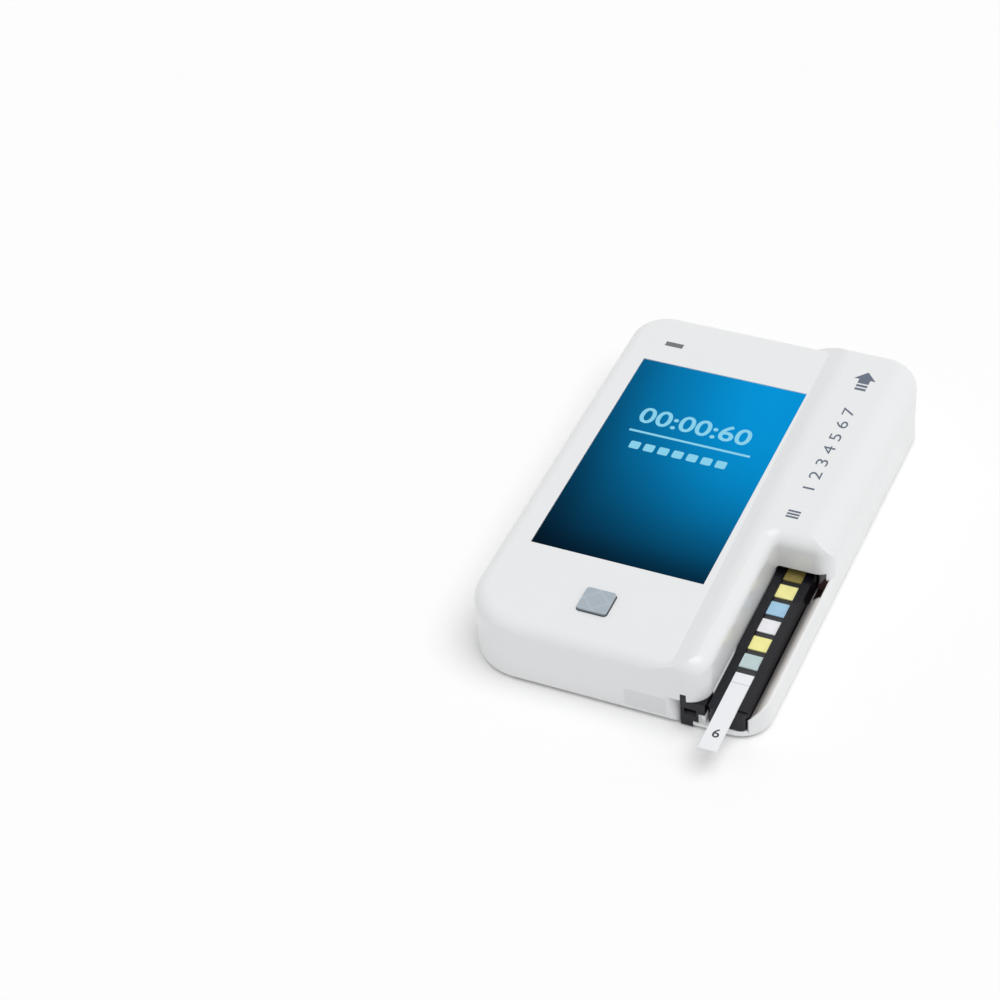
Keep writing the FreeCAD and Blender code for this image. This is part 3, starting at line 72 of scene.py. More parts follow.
COVER_WHITE = shade(232, 233, 234)
PRINT_GREY = shade(94, 104, 121)
TRAY_BLACK = shade(20, 21, 28)
# Painted shade: a dark brown that stands in for the shade inside the mouth and in the pocket before it.
PAINTED_SHADE_BROWN = shade(128, 102, 98)
LIT_TEXT = shade(142, 212, 236)
SCREEN_BLUE = (0.0, 0.3, 0.7, 1.0)


class Shading:
    """Places and joins the nodes of one material or node group."""

    def __init__(self, tree):
        self.tree = tree

    def place(self, kind, feeds=None, **settings):
        node = self.tree.nodes.new(kind)
        for name, value in settings.items():
            setattr(node, name, value)
        for name, value in (feeds or {}).items():
            self.feed(node.inputs[name], value)
        return node

    def feed(self, socket, value):
        if isinstance(value, bpy.types.NodeSocket):
            self.tree.links.new(value, socket)
        else:
            socket.default_value = value

    def work(self, operation, *values):
        """One step of arithmetic."""
        node = self.place("ShaderNodeMath", operation=operation)
        for socket, value in zip(node.inputs, values):
            self.feed(socket, value)
        return node.outputs[0]

    def mixed(self, share, first, second, blend="MIX"):
        """One colour, going over to another as the share rises from 0 to 1."""
        node = self.place("ShaderNodeMix", data_type="RGBA", blend_type=blend)
        for index, value in ((0, share), (6, first), (7, second)):
            self.feed(node.inputs[index], value)
        return node.outputs[2]

    def spread(self, value, low, high, new_low=0.0, new_high=1.0):
        """Carries a value from one range to another, and no further."""
        feeds = {"Value": value, "From Min": low, "From Max": high, "To Min": new_low, "To Max": new_high}
        return self.place("ShaderNodeMapRange", feeds).outputs[0]

    def place_on_object(self):
        """The object's own x, y and z, in metres."""
        return self.place("ShaderNodeTexCoord").outputs["Object"]

    def axes(self):
        """The same place as three values: across, along and up."""
        return self.place("ShaderNodeSeparateXYZ", {0: self.place_on_object()}).outputs

    def noise(self, scale, detail=2.0, vector=None, roughness=0.5):
        feeds = {"Scale": scale, "Detail": detail, "Roughness": roughness}
        feeds["Vector"] = vector or self.place_on_object()
        return self.place("ShaderNodeTexNoise", feeds).outputs[0]

    def stretched(self, across, along, up):
        """The place on the object, with each axis scaled."""
        mapping = self.place("ShaderNodeMapping", {"Vector": self.place_on_object()})
        mapping.inputs["Scale"].default_value = (across, along, up)
        return mapping.outputs[0]

    def steps(self, value, stops, interpolation="LINEAR"):
        """A ramp of colours or levels over a value from 0 to 1.

        A new ramp has two points, which the first two stops take."""
        node = self.place("ShaderNodeValToRGB", {"Fac": value})
        ramp = node.color_ramp
        ramp.interpolation = interpolation
        for index, (position, color) in enumerate(stops):
            point = ramp.elements[index] if index < 2 else ramp.elements.new(position)
            point.position = position
            point.color = color if isinstance(color, tuple) else (color, color, color, 1.0)
        return node.outputs[0]


def effect(name, takes, gives):
    """A node group with named inputs and outputs, ready to be filled."""
    group = bpy.data.node_groups.new(name, "ShaderNodeTree")
    for label, kind, value in takes:
        socket = group.interface.new_socket(label, in_out="INPUT", socket_type="NodeSocket" + kind)
        socket.default_value = value
    for label, kind in gives:
        group.interface.new_socket(label, in_out="OUTPUT", socket_type="NodeSocket" + kind)
    inside = Shading(group)
    return group, inside, inside.place("NodeGroupInput").outputs, inside.place("NodeGroupOutput").inputs


def moulded_skin_effect():
    """Injection-moulded plastic: a fine grain, and slow clouds in its colour and gloss."""
    takes = [
        ("Color", "Color", (0.8, 0.8, 0.8, 1.0)),
        ("Clouding", "Float", 0.03),
        ("Grain Scale", "Float", 2600.0),
        ("Roughness", "Float", 0.35),
        ("Roughness Spread", "Float", 0.08),
    ]
    gives = [("Color", "Color"), ("Roughness", "Float"), ("Height", "Float")]
    group, inside, taken, given = effect("moulded_skin", takes, gives)
    cloud = inside.noise(45.0, detail=3.0)
    grain = inside.noise(taken["Grain Scale"])
    dimmed = inside.work("SUBTRACT", 1.0, inside.work("MULTIPLY", taken["Clouding"], cloud))
    tone = inside.place("ShaderNodeCombineXYZ", {0: dimmed, 1: dimmed, 2: dimmed}).outputs[0]
    inside.feed(given["Color"], inside.mixed(1.0, taken["Color"], tone, "MULTIPLY"))
    mean = inside.work("MULTIPLY", inside.work("ADD", cloud, grain), 0.5)
    offset = inside.work("MULTIPLY", inside.work("SUBTRACT", mean, 0.5), taken["Roughness Spread"])
    inside.feed(given["Roughness"], inside.work("ADD", taken["Roughness"], offset))
    inside.feed(given["Height"], grain)
    return group


def rolled_sheet_effect():
    """Rolled or drawn metal: fine streaks along Y."""
    takes = [
        ("Color", "Color", (0.6, 0.6, 0.6, 1.0)),
        ("Streak Scale", "Float", 900.0),
        ("Roughness", "Float", 0.3),
    ]
    gives = [("Color", "Color"), ("Roughness", "Float"), ("Height", "Float")]
    group, inside, taken, given = effect("rolled_sheet", takes, gives)
    streaks = inside.noise(taken["Streak Scale"], 3.0, inside.stretched(1.0, 0.06, 1.0))
    stain = inside.noise(150.0)
    level = inside.spread(inside.work("MULTIPLY", streaks, stain), 0.1, 0.45, 0.72, 1.0)
    tone = inside.place("ShaderNodeCombineXYZ", {0: level, 1: level, 2: level}).outputs[0]
    inside.feed(given["Color"], inside.mixed(1.0, taken["Color"], tone, "MULTIPLY"))
    rougher = inside.spread(streaks, 0.3, 0.7, -0.06, 0.1)
    inside.feed(given["Roughness"], inside.work("ADD", taken["Roughness"], rougher))
    inside.feed(given["Height"], streaks)
    return group


MOULDED_SKIN = moulded_skin_effect()
ROLLED_SHEET = rolled_sheet_effect()


class Finish:
    """A material with one Principled surface, whose plain numbers stay on its own sockets."""

    def __init__(self, name, **plain):
        self.material = bpy.data.materials.new(name)
        self.material.use_nodes = True
        self.nodes = Shading(self.material.node_tree)
        self.surface = self.material.node_tree.nodes["Principled BSDF"]
        for words, value in plain.items():
            self.surface.inputs[words.replace("_", " ")].default_value = value

    def takes(self, **feeds):
        for words, value in feeds.items():
            self.nodes.feed(self.surface.inputs[words.replace("_", " ")], value)

    def use(self, group, feeds, depth, strength=0.4):
        """Takes its colour, roughness and bump from a shared effect."""
        node = self.nodes.place("ShaderNodeGroup", node_tree=group)
        for label, value in feeds.items():
            self.nodes.feed(node.inputs[label], value)
        self.takes(Base_Color=node.outputs["Color"], Roughness=node.outputs["Roughness"])
        self.raised(node.outputs["Height"], depth, strength)

    def raised(self, height, depth, strength=0.4):
        feeds = {"Height": height, "Distance": depth * MM, "Strength": strength}
        self.takes(Normal=self.nodes.place("ShaderNodeBump", feeds).outputs[0])


def plastic(name, color, roughness, clouding=0.03, grain=2600.0, depth=0.01, **plain):
    """A moulded plastic, or an ink or film that looks like one."""
    finish = Finish(name, **plain)
    feeds = {"Color": color, "Clouding": clouding, "Grain Scale": grain, "Roughness": roughness}
    finish.use(MOULDED_SKIN, feeds, depth)
    return finish.material


def metal(name, color, roughness, streaks=900.0, depth=0.01):
    """A bare rolled, drawn or turned metal."""
    finish = Finish(name, Metallic=1.0)
    finish.use(ROLLED_SHEET, {"Color": color, "Streak Scale": streaks, "Roughness": roughness}, depth)
    return finish.material


def button_finish():
    """Silver paint with the faint lines of one large diamond, and sides painted darker as shade."""
    diamond_reach = 3.4
    line_width = 0.9
    line_core = 0.15
    side_top = 0.45
    side_fade = 0.15
    finish = Finish("button_silver", Coat_Weight=0.2, Coat_Roughness=0.25)
    nodes = finish.nodes
    low, high = corners_of("home_button")
    middle = (low + high) / 2
    across, along, up = nodes.axes()
    across = nodes.work("SUBTRACT", across, middle.x * MM)
    along = nodes.work("SUBTRACT", along, middle.y * MM)
    lines = []
    for direction in (1.0, -1.0):
        slant = nodes.work("ADD", across, nodes.work("MULTIPLY", along, direction))
        from_side = nodes.work("SUBTRACT", nodes.work("ABSOLUTE", slant), diamond_reach * MM)
        lines.append(nodes.work("ABSOLUTE", from_side))
    diamond = nodes.spread(nodes.work("MINIMUM", *lines), line_core * MM, line_width * MM)
    fine = nodes.noise(1800.0, 3.0)
    paint = nodes.mixed(diamond, shade(168, 178, 187), shade(158, 170, 180))
    speckled = nodes.mixed(nodes.spread(fine, 0.35, 0.7, 0.0, 0.3), paint, shade(182, 191, 199))
    # Painted shade: below the top, the button's sides take a darker grey.
    top = nodes.spread(up, (high.z - side_top) * MM, (high.z - side_top + side_fade) * MM)
    finish.takes(
        Base_Color=nodes.mixed(top, shade(104, 112, 119), speckled),
        Roughness=nodes.spread(fine, 0.3, 0.7, 0.3, 0.45),
    )
    finish.raised(nodes.work("ADD", diamond, nodes.work("MULTIPLY", fine, 0.3)), 0.02)
    return finish.material


def lit_screen_finish():
    """The lit display, dark at the left and the front, under a glossy touch panel."""
    cell_pitch = 0.15
    finish = Finish("lit_screen", Specular_IOR_Level=0.01, Emission_Strength=1.0)
    nodes = finish.nodes
    low, high = corners_of("touch_panel")
    across, along, _ = nodes.axes()
    side = nodes.spread(across, low.x * MM, high.x * MM)
    reach = nodes.spread(along, low.y * MM, high.y * MM)
    front_stops = [(0.0, 0.17), (1.0, 1.0), (0.2, 0.44), (0.4, 0.6), (0.6, 0.8), (0.8, 0.96)]
    back_stops = [(0.0, 0.31), (1.0, 0.92), (0.2, 0.58), (0.4, 0.69), (0.6, 0.9), (0.8, 1.0)]
    length_stops = [(0.0, 0.04), (1.0, 1.0), (0.12, 0.2), (0.3, 0.49), (0.5, 0.81), (0.75, 0.98)]
    at_front = nodes.steps(side, front_stops, "B_SPLINE")
    at_back = nodes.steps(side, back_stops, "B_SPLINE")
    sideways = nodes.mixed(nodes.spread(reach, 0.4, 1.0), at_front, at_back)
    lengthways = nodes.steps(reach, length_stops, "B_SPLINE")
    light = nodes.mixed(1.0, sideways, lengthways, "MULTIPLY")
    turns = nodes.work("MULTIPLY", along, math.pi / (cell_pitch * MM))
    cells = nodes.work("ABSOLUTE", nodes.work("SINE", turns))
    glow = nodes.mixed(nodes.spread(cells, 0.0, 0.3, 0.06, 0.0), SCREEN_BLUE, (0.0, 0.0, 0.0, 1.0))
    finish.takes(Emission_Color=nodes.mixed(1.0, light, glow, "MULTIPLY"))
    smear = nodes.noise(70.0, 4.0, nodes.stretched(1.0, 0.4, 1.0))
    finish.takes(
        Base_Color=nodes.mixed(smear, (0.0, 0.001, 0.003, 1.0), (0.0, 0.003, 0.008, 1.0)),
        Roughness=nodes.spread(smear, 0.35, 0.7, 0.05, 0.14),
    )
    return finish.material


def lit_text_finish():
    """The pale blue light of the figures on the screen."""
    finish = Finish("lit_text", Specular_IOR_Level=0.05, Roughness=0.12, Emission_Strength=0.92)
    nodes = finish.nodes
    fade = nodes.noise(60.0)
    finish.takes(
        Base_Color=nodes.mixed(fade, (0.01, 0.03, 0.05, 1.0), (0.02, 0.05, 0.07, 1.0)),
        Emission_Color=nodes.mixed(fade, shade(132, 206, 232), LIT_TEXT),
    )
    return finish.material


def strip_film_finish():
    """White film for the fingers, black film under the pads, and a score line across the white."""
    black_before_pads = 1.9
    score_before_pads = 5.6
    finish = Finish("strip_film", Coat_Weight=0.15, Coat_Roughness=0.3)
    nodes = finish.nodes
    _, along, _ = nodes.axes()
    pads_low, _ = corners_of("reagent_pads")
    black_y = pads_low.y - black_before_pads
    black = nodes.spread(along, (black_y - 0.05) * MM, black_y * MM)
    from_score = nodes.work("SUBTRACT", along, (pads_low.y - score_before_pads) * MM)
    line = nodes.spread(nodes.work("ABSOLUTE", from_score), 0.12 * MM, 0.26 * MM, 0.35, 0.0)
    fibre = nodes.noise(900.0, 4.0)
    white = nodes.mixed(fibre, shade(240, 241, 243), shade(228, 230, 234))
    scored = nodes.mixed(line, white, shade(150, 154, 160))
    finish.takes(
        Base_Color=nodes.mixed(black, scored, shade(26, 26, 29)),
        Roughness=nodes.spread(fibre, 0.3, 0.7, 0.34, 0.5),
    )
    finish.raised(nodes.work("SUBTRACT", fibre, nodes.work("MULTIPLY", line, 2.0)), 0.01)
    return finish.material


PAD_COLORS = [
    shade(190, 210, 212),
    shade(246, 240, 158),
    shade(238, 238, 244),
    shade(162, 202, 230),
    shade(246, 240, 162),
    # The sixth pad is olive, darkened further as painted shade for the hood over it.
    shade(150, 136, 70),
    shade(232, 204, 192),
]


def pad_finish():
    """Soaked paper pads, each with its own reagent's colour, changing halfway between them. The sixth pad's
    colour is darkened as painted shade from the hood over it.
    """
    half_gap = 0.96
    finish = Finish("reagent_paper", Sheen_Weight=0.15)
    nodes = finish.nodes
    _, along, _ = nodes.axes()
    low, high = corners_of("reagent_pads")
    reach = nodes.spread(along, (low.y - half_gap) * MM, (high.y + half_gap) * MM)
    stops = [(index / len(PAD_COLORS), color) for index, color in enumerate(PAD_COLORS)]
    color = nodes.steps(reach, stops, "CONSTANT")
    fibre = nodes.noise(1500.0, 6.0, nodes.stretched(1.0, 0.45, 1.0))
    soak = nodes.noise(420.0, 3.0)
    soaked = nodes.spread(soak, 0.3, 0.7, 0.0, 0.5)
    damp = nodes.work("MULTIPLY", soaked, nodes.spread(fibre, 0.3, 0.7, 0.2, 0.6))
    finish.takes(
        Base_Color=nodes.mixed(damp, color, nodes.mixed(1.0, color, shade(214, 208, 188), "MULTIPLY")),
        Roughness=nodes.spread(fibre, 0.3, 0.7, 0.75, 0.95),
    )
    finish.raised(fibre, 0.06, 0.7)
    return finish.material


def board_finish():
    """Green solder mask over copper tracks."""
    finish = Finish("board_green", Coat_Weight=0.4, Coat_Roughness=0.2)
    nodes = finish.nodes
    tracks = nodes.place("ShaderNodeTexBrick", {"Vector": nodes.place_on_object(), "Scale": 160.0})
    tracks.inputs["Mortar Size"].default_value = 0.03
    copper = tracks.outputs["Fac"]
    weave = nodes.noise(2200.0, 3.0)
    green = nodes.mixed(weave, shade(18, 82, 54), shade(24, 96, 62))
    finish.takes(
        Base_Color=nodes.mixed(copper, green, shade(46, 128, 84)),
        Roughness=nodes.spread(weave, 0.3, 0.7, 0.28, 0.4),
    )
    finish.raised(nodes.work("ADD", copper, nodes.work("MULTIPLY", weave, 0.2)), 0.03)
    return finish.material


def foil_finish():
    """A foil pouch, with soft creases."""
    finish = Finish("battery_foil", Metallic=1.0)
    nodes = finish.nodes
    creases = nodes.noise(160.0, 5.0, roughness=0.65)
    fine = nodes.noise(900.0)
    finish.takes(
        Base_Color=nodes.mixed(creases, shade(190, 192, 197), shade(214, 216, 220)),
        Roughness=nodes.spread(fine, 0.3, 0.7, 0.26, 0.42),
    )
    finish.raised(creases, 0.15, 0.6)
    return finish.material


def cable_finish():
    """Amber film with copper tracks along it."""
    track_pitch = 0.5
    finish = Finish("cable_amber", Coat_Weight=0.5, Coat_Roughness=0.15)
    nodes = finish.nodes
    across, _, _ = nodes.axes()
    turns = nodes.work("MULTIPLY", across, math.pi / (track_pitch * MM))
    copper = nodes.spread(nodes.work("ABSOLUTE", nodes.work("SINE", turns)), 0.45, 0.6)
    haze = nodes.noise(500.0, 3.0)
    film = nodes.mixed(haze, shade(196, 138, 44), shade(208, 150, 56))
    finish.takes(
        Base_Color=nodes.mixed(copper, film, shade(150, 88, 34)),
        Roughness=nodes.spread(haze, 0.3, 0.7, 0.25, 0.4),
    )
    finish.raised(copper, 0.03)
    return finish.material


def frosted_finish(name, color, roughness):
    """A clear moulding that scatters what passes through it."""
    finish = Finish(name, Transmission_Weight=0.35, IOR=1.49)
    nodes = finish.nodes
    haze = nodes.noise(700.0, 3.0)
    dim = tuple(channel * 0.86 for channel in color[:3]) + (1.0,)
    finish.takes(
        Base_Color=nodes.mixed(haze, color, dim),
        Roughness=nodes.spread(haze, 0.3, 0.7, roughness, roughness + 0.12),
    )
    finish.raised(haze, 0.01, 0.2)
    return finish.material


def upper_cover_finish():
    """The white of the covers, and a dark brown painted as the shade inside the mouth, between the bay and
    the side wall.
    """
    mouth_start, reader_y = -6.9, 6.0
    bay_x, side_x = 26.9, 40.8
    mouth_roof = 18.2
    fade = 0.1
    finish = Finish("upper_cover_white_and_painted_shade", Coat_Weight=0.2, Coat_Roughness=0.12)
    nodes = finish.nodes
    across, along, up = nodes.axes()
    # Painted shade: this mask marks the faces inside the mouth, between the bay and the side wall, which
    # are painted dark brown for the shade there.
    inside = nodes.spread(along, mouth_start * MM, (mouth_start + 2 * fade) * MM)
    far_edges = ((across, side_x, -fade), (along, reader_y, -fade), (up, mouth_roof, -fade))
    for value, edge, reach in (*far_edges, (across, bay_x, fade)):
        inside = nodes.work("MULTIPLY", inside, nodes.spread(value, edge * MM, (edge + reach) * MM))
    color = nodes.mixed(inside, COVER_WHITE, PAINTED_SHADE_BROWN)
    finish.use(MOULDED_SKIN, {"Color": color, "Clouding": 0.02, "Roughness": 0.3}, 0.01)
    return finish.material


cover_white = plastic("cover_white", COVER_WHITE, 0.3, 0.02, Coat_Weight=0.2, Coat_Roughness=0.12)
tray_black = plastic("tray_black", TRAY_BLACK, 0.22, 0.2, 2000.0, Specular_IOR_Level=0.3)
reader_black = plastic("reader_black", shade(34, 33, 36), 0.5, 0.2, 1800.0, 0.02)
# Painted shade: a dark brown for the pocket before the mouth, where the hood's shade falls.
pocket_painted_shade = plastic("pocket_painted_shade", PAINTED_SHADE_BROWN, 0.45, 0.2, 1800.0, 0.02)
# Painted shade: a warm grey darker than the cover, for the shade on the hollow beside the tray.
hollow_painted_shade = plastic("hollow_painted_shade", shade(214, 210, 206), 0.34, 0.05, Coat_Weight=0.1, Coat_Roughness=0.2)
chip_black = plastic("chip_black", shade(36, 37, 39), 0.55, 0.25, 3600.0, 0.02)
rubber_black = plastic("foot_rubber", shade(52, 52, 54), 0.75, 0.3, 1600.0, 0.03)
print_ink = plastic("print_grey", PRINT_GREY, 0.45, 0.08, 4200.0)
figure_ink = plastic("figure_black", shade(58, 62, 68), 0.45, 0.1, 4200.0)
label_paper = plastic("label_film", shade(222, 224, 226), 0.4, 0.05, 3000.0)
plated_sheet = metal("plated_sheet", shade(206, 207, 209), 0.28)
screw_steel = metal("screw_steel", shade(196, 198, 202), 0.32, 1600.0)
gear_brass = metal("gear_brass", shade(214, 184, 116), 0.3, 1300.0)
dark_cell = plastic("display_back", shade(30, 34, 42), 0.2, 0.2, 1200.0)
lens_glass = frosted_finish("reader_glass", shade(196, 208, 216), 0.05)
pipe_grey = frosted_finish("light_pipe", shade(132, 134, 135), 0.3)
diode_glow = frosted_finish("diode_resin", shade(236, 236, 224), 0.3)

node_finishes = {
    upper_cover_finish(): ["top_cover"],
    cover_white: ["bottom_cover", "battery_door"],
    tray_black: ["strip_tray", "guide_block"],
    reader_black: ["reader_housing"],
    chip_black: ["processor_chip", "buzzer", "battery_socket", "push_switch", "display_socket"],
    rubber_black: ["rubber_feet"],
    plated_sheet: ["radio_shield", "charging_socket", "display_frame", "drive_motor", "motor_bracket"],
    screw_steel: ["case_screws", "board_screws", "bracket_screws", "door_screws", "reader_screws"],
    gear_brass: ["drive_pinion"],
    dark_cell: ["display_cell"],
    lens_glass: ["reader_window", "reader_lens"],
    pipe_grey: ["light_pipe"],
    diode_glow: ["indicator_diode", "reader_diodes"],
    button_finish(): ["home_button"],
    lit_screen_finish(): ["touch_panel"],
    strip_film_finish(): ["test_strip"],
    pad_finish(): ["reagent_pads"],
    board_finish(): ["main_board", "reader_board"],
    foil_finish(): ["battery_pack"],
    cable_finish(): ["display_cable"],
}
for material, names in node_finishes.items():
    for name in names:
        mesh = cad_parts[name].data
        mesh.materials.clear()
        mesh.materials.append(material)

lit_text = lit_text_finish()


def settle(piece, material, body):
    """Gives a new piece its finish, and the body that carries it."""
    piece.data.materials.append(material)
    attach(piece, body)
    return piece


def as_piece(name, form):
    """An object in the scene, made from a finished form."""
    mesh = bpy.data.meshes.new(name)
    form.to_mesh(mesh)
    form.free()
    piece = bpy.data.objects.new(name, mesh)
    bpy.context.collection.objects.link(piece)
    return piece


def closed_form(name, rings):
    """A piece from rings of points, each joined to the next, and closed at both ends."""
    form = bmesh.new()
    corners = [[form.verts.new(Vector(point) * MM) for point in ring] for ring in rings]
    form.faces.new(corners[0])
    form.faces.new(corners[-1])
    for near, far in zip(corners, corners[1:]):
        for index in range(len(near)):
            after = (index + 1) % len(near)
            form.faces.new((near[index], near[after], far[after], far[index]))
    bmesh.ops.recalc_face_normals(form, faces=form.faces)
    return as_piece(name, form)


def long_form(ends):
    """A form along Y to cut with: each end, or step between, is its y and an outline in x and z."""
    return closed_form("cutting_form", [[(x, y, z) for x, z in outline] for y, outline in ends])


def worked_out(piece):
    """Turns a piece's modifiers into its own mesh."""
    bpy.context.view_layer.update()
    piece.data = bpy.data.meshes.new_from_object(piece.evaluated_get(bpy.context.evaluated_depsgraph_get()))
    piece.modifiers.clear()


def cut_away(piece, cutters):
    """Takes the cutting forms out of a piece, and removes them."""
    for cutter in cutters:
        difference = piece.modifiers.new("cut", "BOOLEAN")
        difference.object = cutter
        difference.solver = "EXACT"
    worked_out(piece)
    for cutter in cutters:
        bpy.data.objects.remove(cutter)


def evenly_shaded(piece):
    """Curved faces shade as one, and flat ones stay flat beside them."""
    piece.data.shade_smooth()
    piece.data.set_sharp_from_angle(angle=math.radians(30))
    piece.modifiers.new("even", "WEIGHTED_NORMAL").keep_sharp = True
    worked_out(piece)
    piece.data.materials.clear()


def copied(name, node):
    """A new piece with a node's own form, to be worked on."""
    form = bmesh.new()
    form.from_mesh(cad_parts[node].data)
    bmesh.ops.remove_doubles(form, verts=form.verts, dist=0.0005 * MM)
    return as_piece(name, form)


def take_place(piece, node, body):
    """Shows the piece for the node, on the node's own body."""
    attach(piece, body)
    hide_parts(node)


def hollow_outline(inner, outer, depth, steps=8, bend=1.7):
    """The hollow across: level beside the tray, then in a bend up to the rim."""
    clear_of_shelf = SHELF_TOP + 0.8
    low_width = 0.3
    outline = [(inner, clear_of_shelf), (outer + 0.5, clear_of_shelf), (outer, SHELF_TOP)]
    for step in range(1, steps + 1):
        share = step / steps
        x = outer + (inner + low_width - outer) * share
        outline.append((x, SHELF_TOP - depth * share ** bend))
    outline.append((inner, SHELF_TOP - depth))
    return outline


def lower_cover():
    """The lower cover, with the hollow beside the tray that slopes up to the rim at its full width,
    and a pocket in the hollow's end before the mouth; the pocket is painted dark brown and the hollow a
    warm grey, both as painted shade."""
    cover = copied("lower_cover", "bottom_cover")
    _, tray = corners_of("strip_tray")
    beside = 0.15
    inner = tray.x + beside
    front_y, deep_y, pocket_y, mouth_y = -61.4, -57.2, -13.4, -5.0
    pocket_outer, pocket_floor = 41.2, 3.4
    hollow = [
        (front_y, hollow_outline(inner, 40.6, 0.9)),
        (deep_y, hollow_outline(inner, 41.1, 3.6)),
        (mouth_y, hollow_outline(inner, 41.45, 3.8)),
    ]
    pocket = [
        (inner, SHELF_TOP + 0.8),
        (pocket_outer + 0.1, SHELF_TOP + 0.8),
        (pocket_outer, pocket_floor),
        (inner, pocket_floor),
    ]
    cut_away(cover, [long_form(hollow), long_form([(pocket_y, pocket), (mouth_y, pocket)])])
    evenly_shaded(cover)

    mesh = cover.data
    for material in (cover_white, pocket_painted_shade, hollow_painted_shade):
        mesh.materials.append(material)
    margin = 0.1
    # Painted shade: faces in the pocket get the dark brown (index 1), and faces in the hollow the darker
    # grey (index 2).
    for face in mesh.polygons:
        x, y, z = face.center / MM
        beside_tray = inner + 0.01 < x < pocket_outer + 2 * margin and face.normal.x < 0.3
        below_rim = pocket_floor - margin < z < SHELF_TOP - 0.03
        if beside_tray and below_rim and front_y - margin < y < mouth_y + margin:
            face.material_index = 1 if y > pocket_y + 0.01 else 2
        else:
            face.material_index = 0
    take_place(cover, "bottom_cover", "housing")


def eased_tray():
    """The tray, with its edges eased."""
    tray = copied("eased_tray", "strip_tray")
    ease = tray.modifiers.new("ease", "BEVEL")
    ease.width = 0.22 * MM
    ease.segments = 2
    ease.limit_method = "ANGLE"
    ease.angle_limit = math.radians(50)
    worked_out(tray)
    evenly_shaded(tray)
    tray.data.materials.append(tray_black)
    take_place(tray, "strip_tray", "tray")


def thin_plate(name, outline, surface, facing=(0, 0, 1)):
    """A thin solid on a surface, from an outline in the surface's own two directions.

    surface is a point on it, and facing is the way it looks."""
    up = Vector(facing)
    right = Vector((1, 0, 0))
    along = up.cross(right)
    rings = []
    for lift in (-PRINT_SUNK, PRINT_PROUD):
        level = Vector(surface) + up * lift
        rings.append([level + right * x + along * y for x, y in outline])
    return closed_form(name, rings)


def block(x_low, x_high, y_low, y_high, radius=0.0, steps=6):
    """Outline: a rectangle, with rounded corners where a radius is given."""
    corners = [(x_high, y_low, -90), (x_high, y_high, 0), (x_low, y_high, 90), (x_low, y_low, 180)]
    if not radius:
        return [(x, y) for x, y, _ in corners]
    points = []
    for x, y, start in corners:
        inner_x = x - math.copysign(radius, x - (x_low + x_high) / 2)
        inner_y = y - math.copysign(radius, y - (y_low + y_high) / 2)
        for step in range(steps + 1):
            turn = math.radians(start + 90 * step / steps)
            points.append((inner_x + radius * math.cos(turn), inner_y + radius * math.sin(turn)))
    return points


def digits(name, words, place, height, width, turned=0.0, weight=0.02):
    """Raised figures on a level surface: place is their lower left corner, and weight thickens them."""
    lettering = bpy.data.curves.new(name, "FONT")
    lettering.body = words
    lettering.size = height / FIGURE_SHARE * MM
    lettering.extrude = PRINT_PROUD * MM
    lettering.offset = weight * height * MM
    lettering.resolution_u = 6
    piece = bpy.data.objects.new(name, lettering)
    bpy.context.collection.objects.link(piece)
    bpy.context.view_layer.update()
    piece.scale.x = width * MM / piece.dimensions.x
    piece.rotation_euler.z = math.radians(turned)
    piece.location = Vector(place) * MM
    return piece


def print_hood():
    """The way in for the strip, printed on the hood: an arrow above two bars, a figure for each pad,
    and three bars at the mouth."""
    _, high = corners_of("top_cover")
    middle = 29.0
    tip_y = high.y - 10.3
    head_half, head_l = 3.1, 3.4
    shaft_half, shaft_l = 1.6, 1.8
    head_y = tip_y - head_l
    shaft_y = head_y - shaft_l
    prints = {
        "hood_arrow": [
            (middle, tip_y),
            (middle - head_half, head_y),
            (middle - shaft_half, head_y),
            (middle - shaft_half, shaft_y),
            (middle + shaft_half, shaft_y),
            (middle + shaft_half, head_y),
            (middle + head_half, head_y),
        ]
    }
    arrow_pitch, arrow_bar = 1.5, 0.95
    for number in range(2):
        start = shaft_y - arrow_pitch * (number + 1)
        bar = block(middle - shaft_half, middle + shaft_half, start, start + arrow_bar)
        prints[f"hood_arrow_bar_{number}"] = bar
    mouth_start, mouth_pitch, mouth_bar = -0.4, 1.15, 0.7
    for number in range(3):
        start = mouth_start + mouth_pitch * number
        prints[f"hood_mouth_bar_{number}"] = block(middle - 2.1, middle + 1.4, start, start + mouth_bar)
    for name, outline in prints.items():
        settle(thin_plate(name, outline, (0, 0, high.z)), print_ink, "housing")

    figure_h, row_l = 3.3, 35.4
    start = (middle + figure_h / 2 + 0.05, 10.4, high.z)
    figures = digits("hood_pad_figures", "1 2 3 4 5 6 7", start, figure_h, row_l, turned=90.0, weight=0.0)
    settle(figures, print_ink, "housing")


def show_screen():
    """A countdown in figures, a rule, and one small cell for each pad of the strip."""
    low, high = corners_of("touch_panel")
    left = low.x + 7.9
    clock_y, clock_h, clock_l = low.y + 55.3, 6.4, 32.6
    rule_y, rule_width = clock_y - 4.4, 0.8
    cell_y, cell_side, cell_pitch = clock_y - 11.2, 3.0, 4.2
    shown = {"screen_rule": block(left - 0.4, left + 35.0, rule_y, rule_y + rule_width)}
    for number in range(len(PAD_COLORS)):
        start = left + 2.0 + number * cell_pitch
        cell = block(start, start + cell_side, cell_y, cell_y + cell_side, radius=0.5, steps=3)
        shown[f"screen_cell_{number}"] = cell
    pieces = [digits("screen_clock", "00:00:60", (left, clock_y, high.z), clock_h, clock_l)]
    pieces += [thin_plate(name, outline, (0, 0, high.z)) for name, outline in shown.items()]
    for piece in pieces:
        settle(piece, lit_text, "housing")


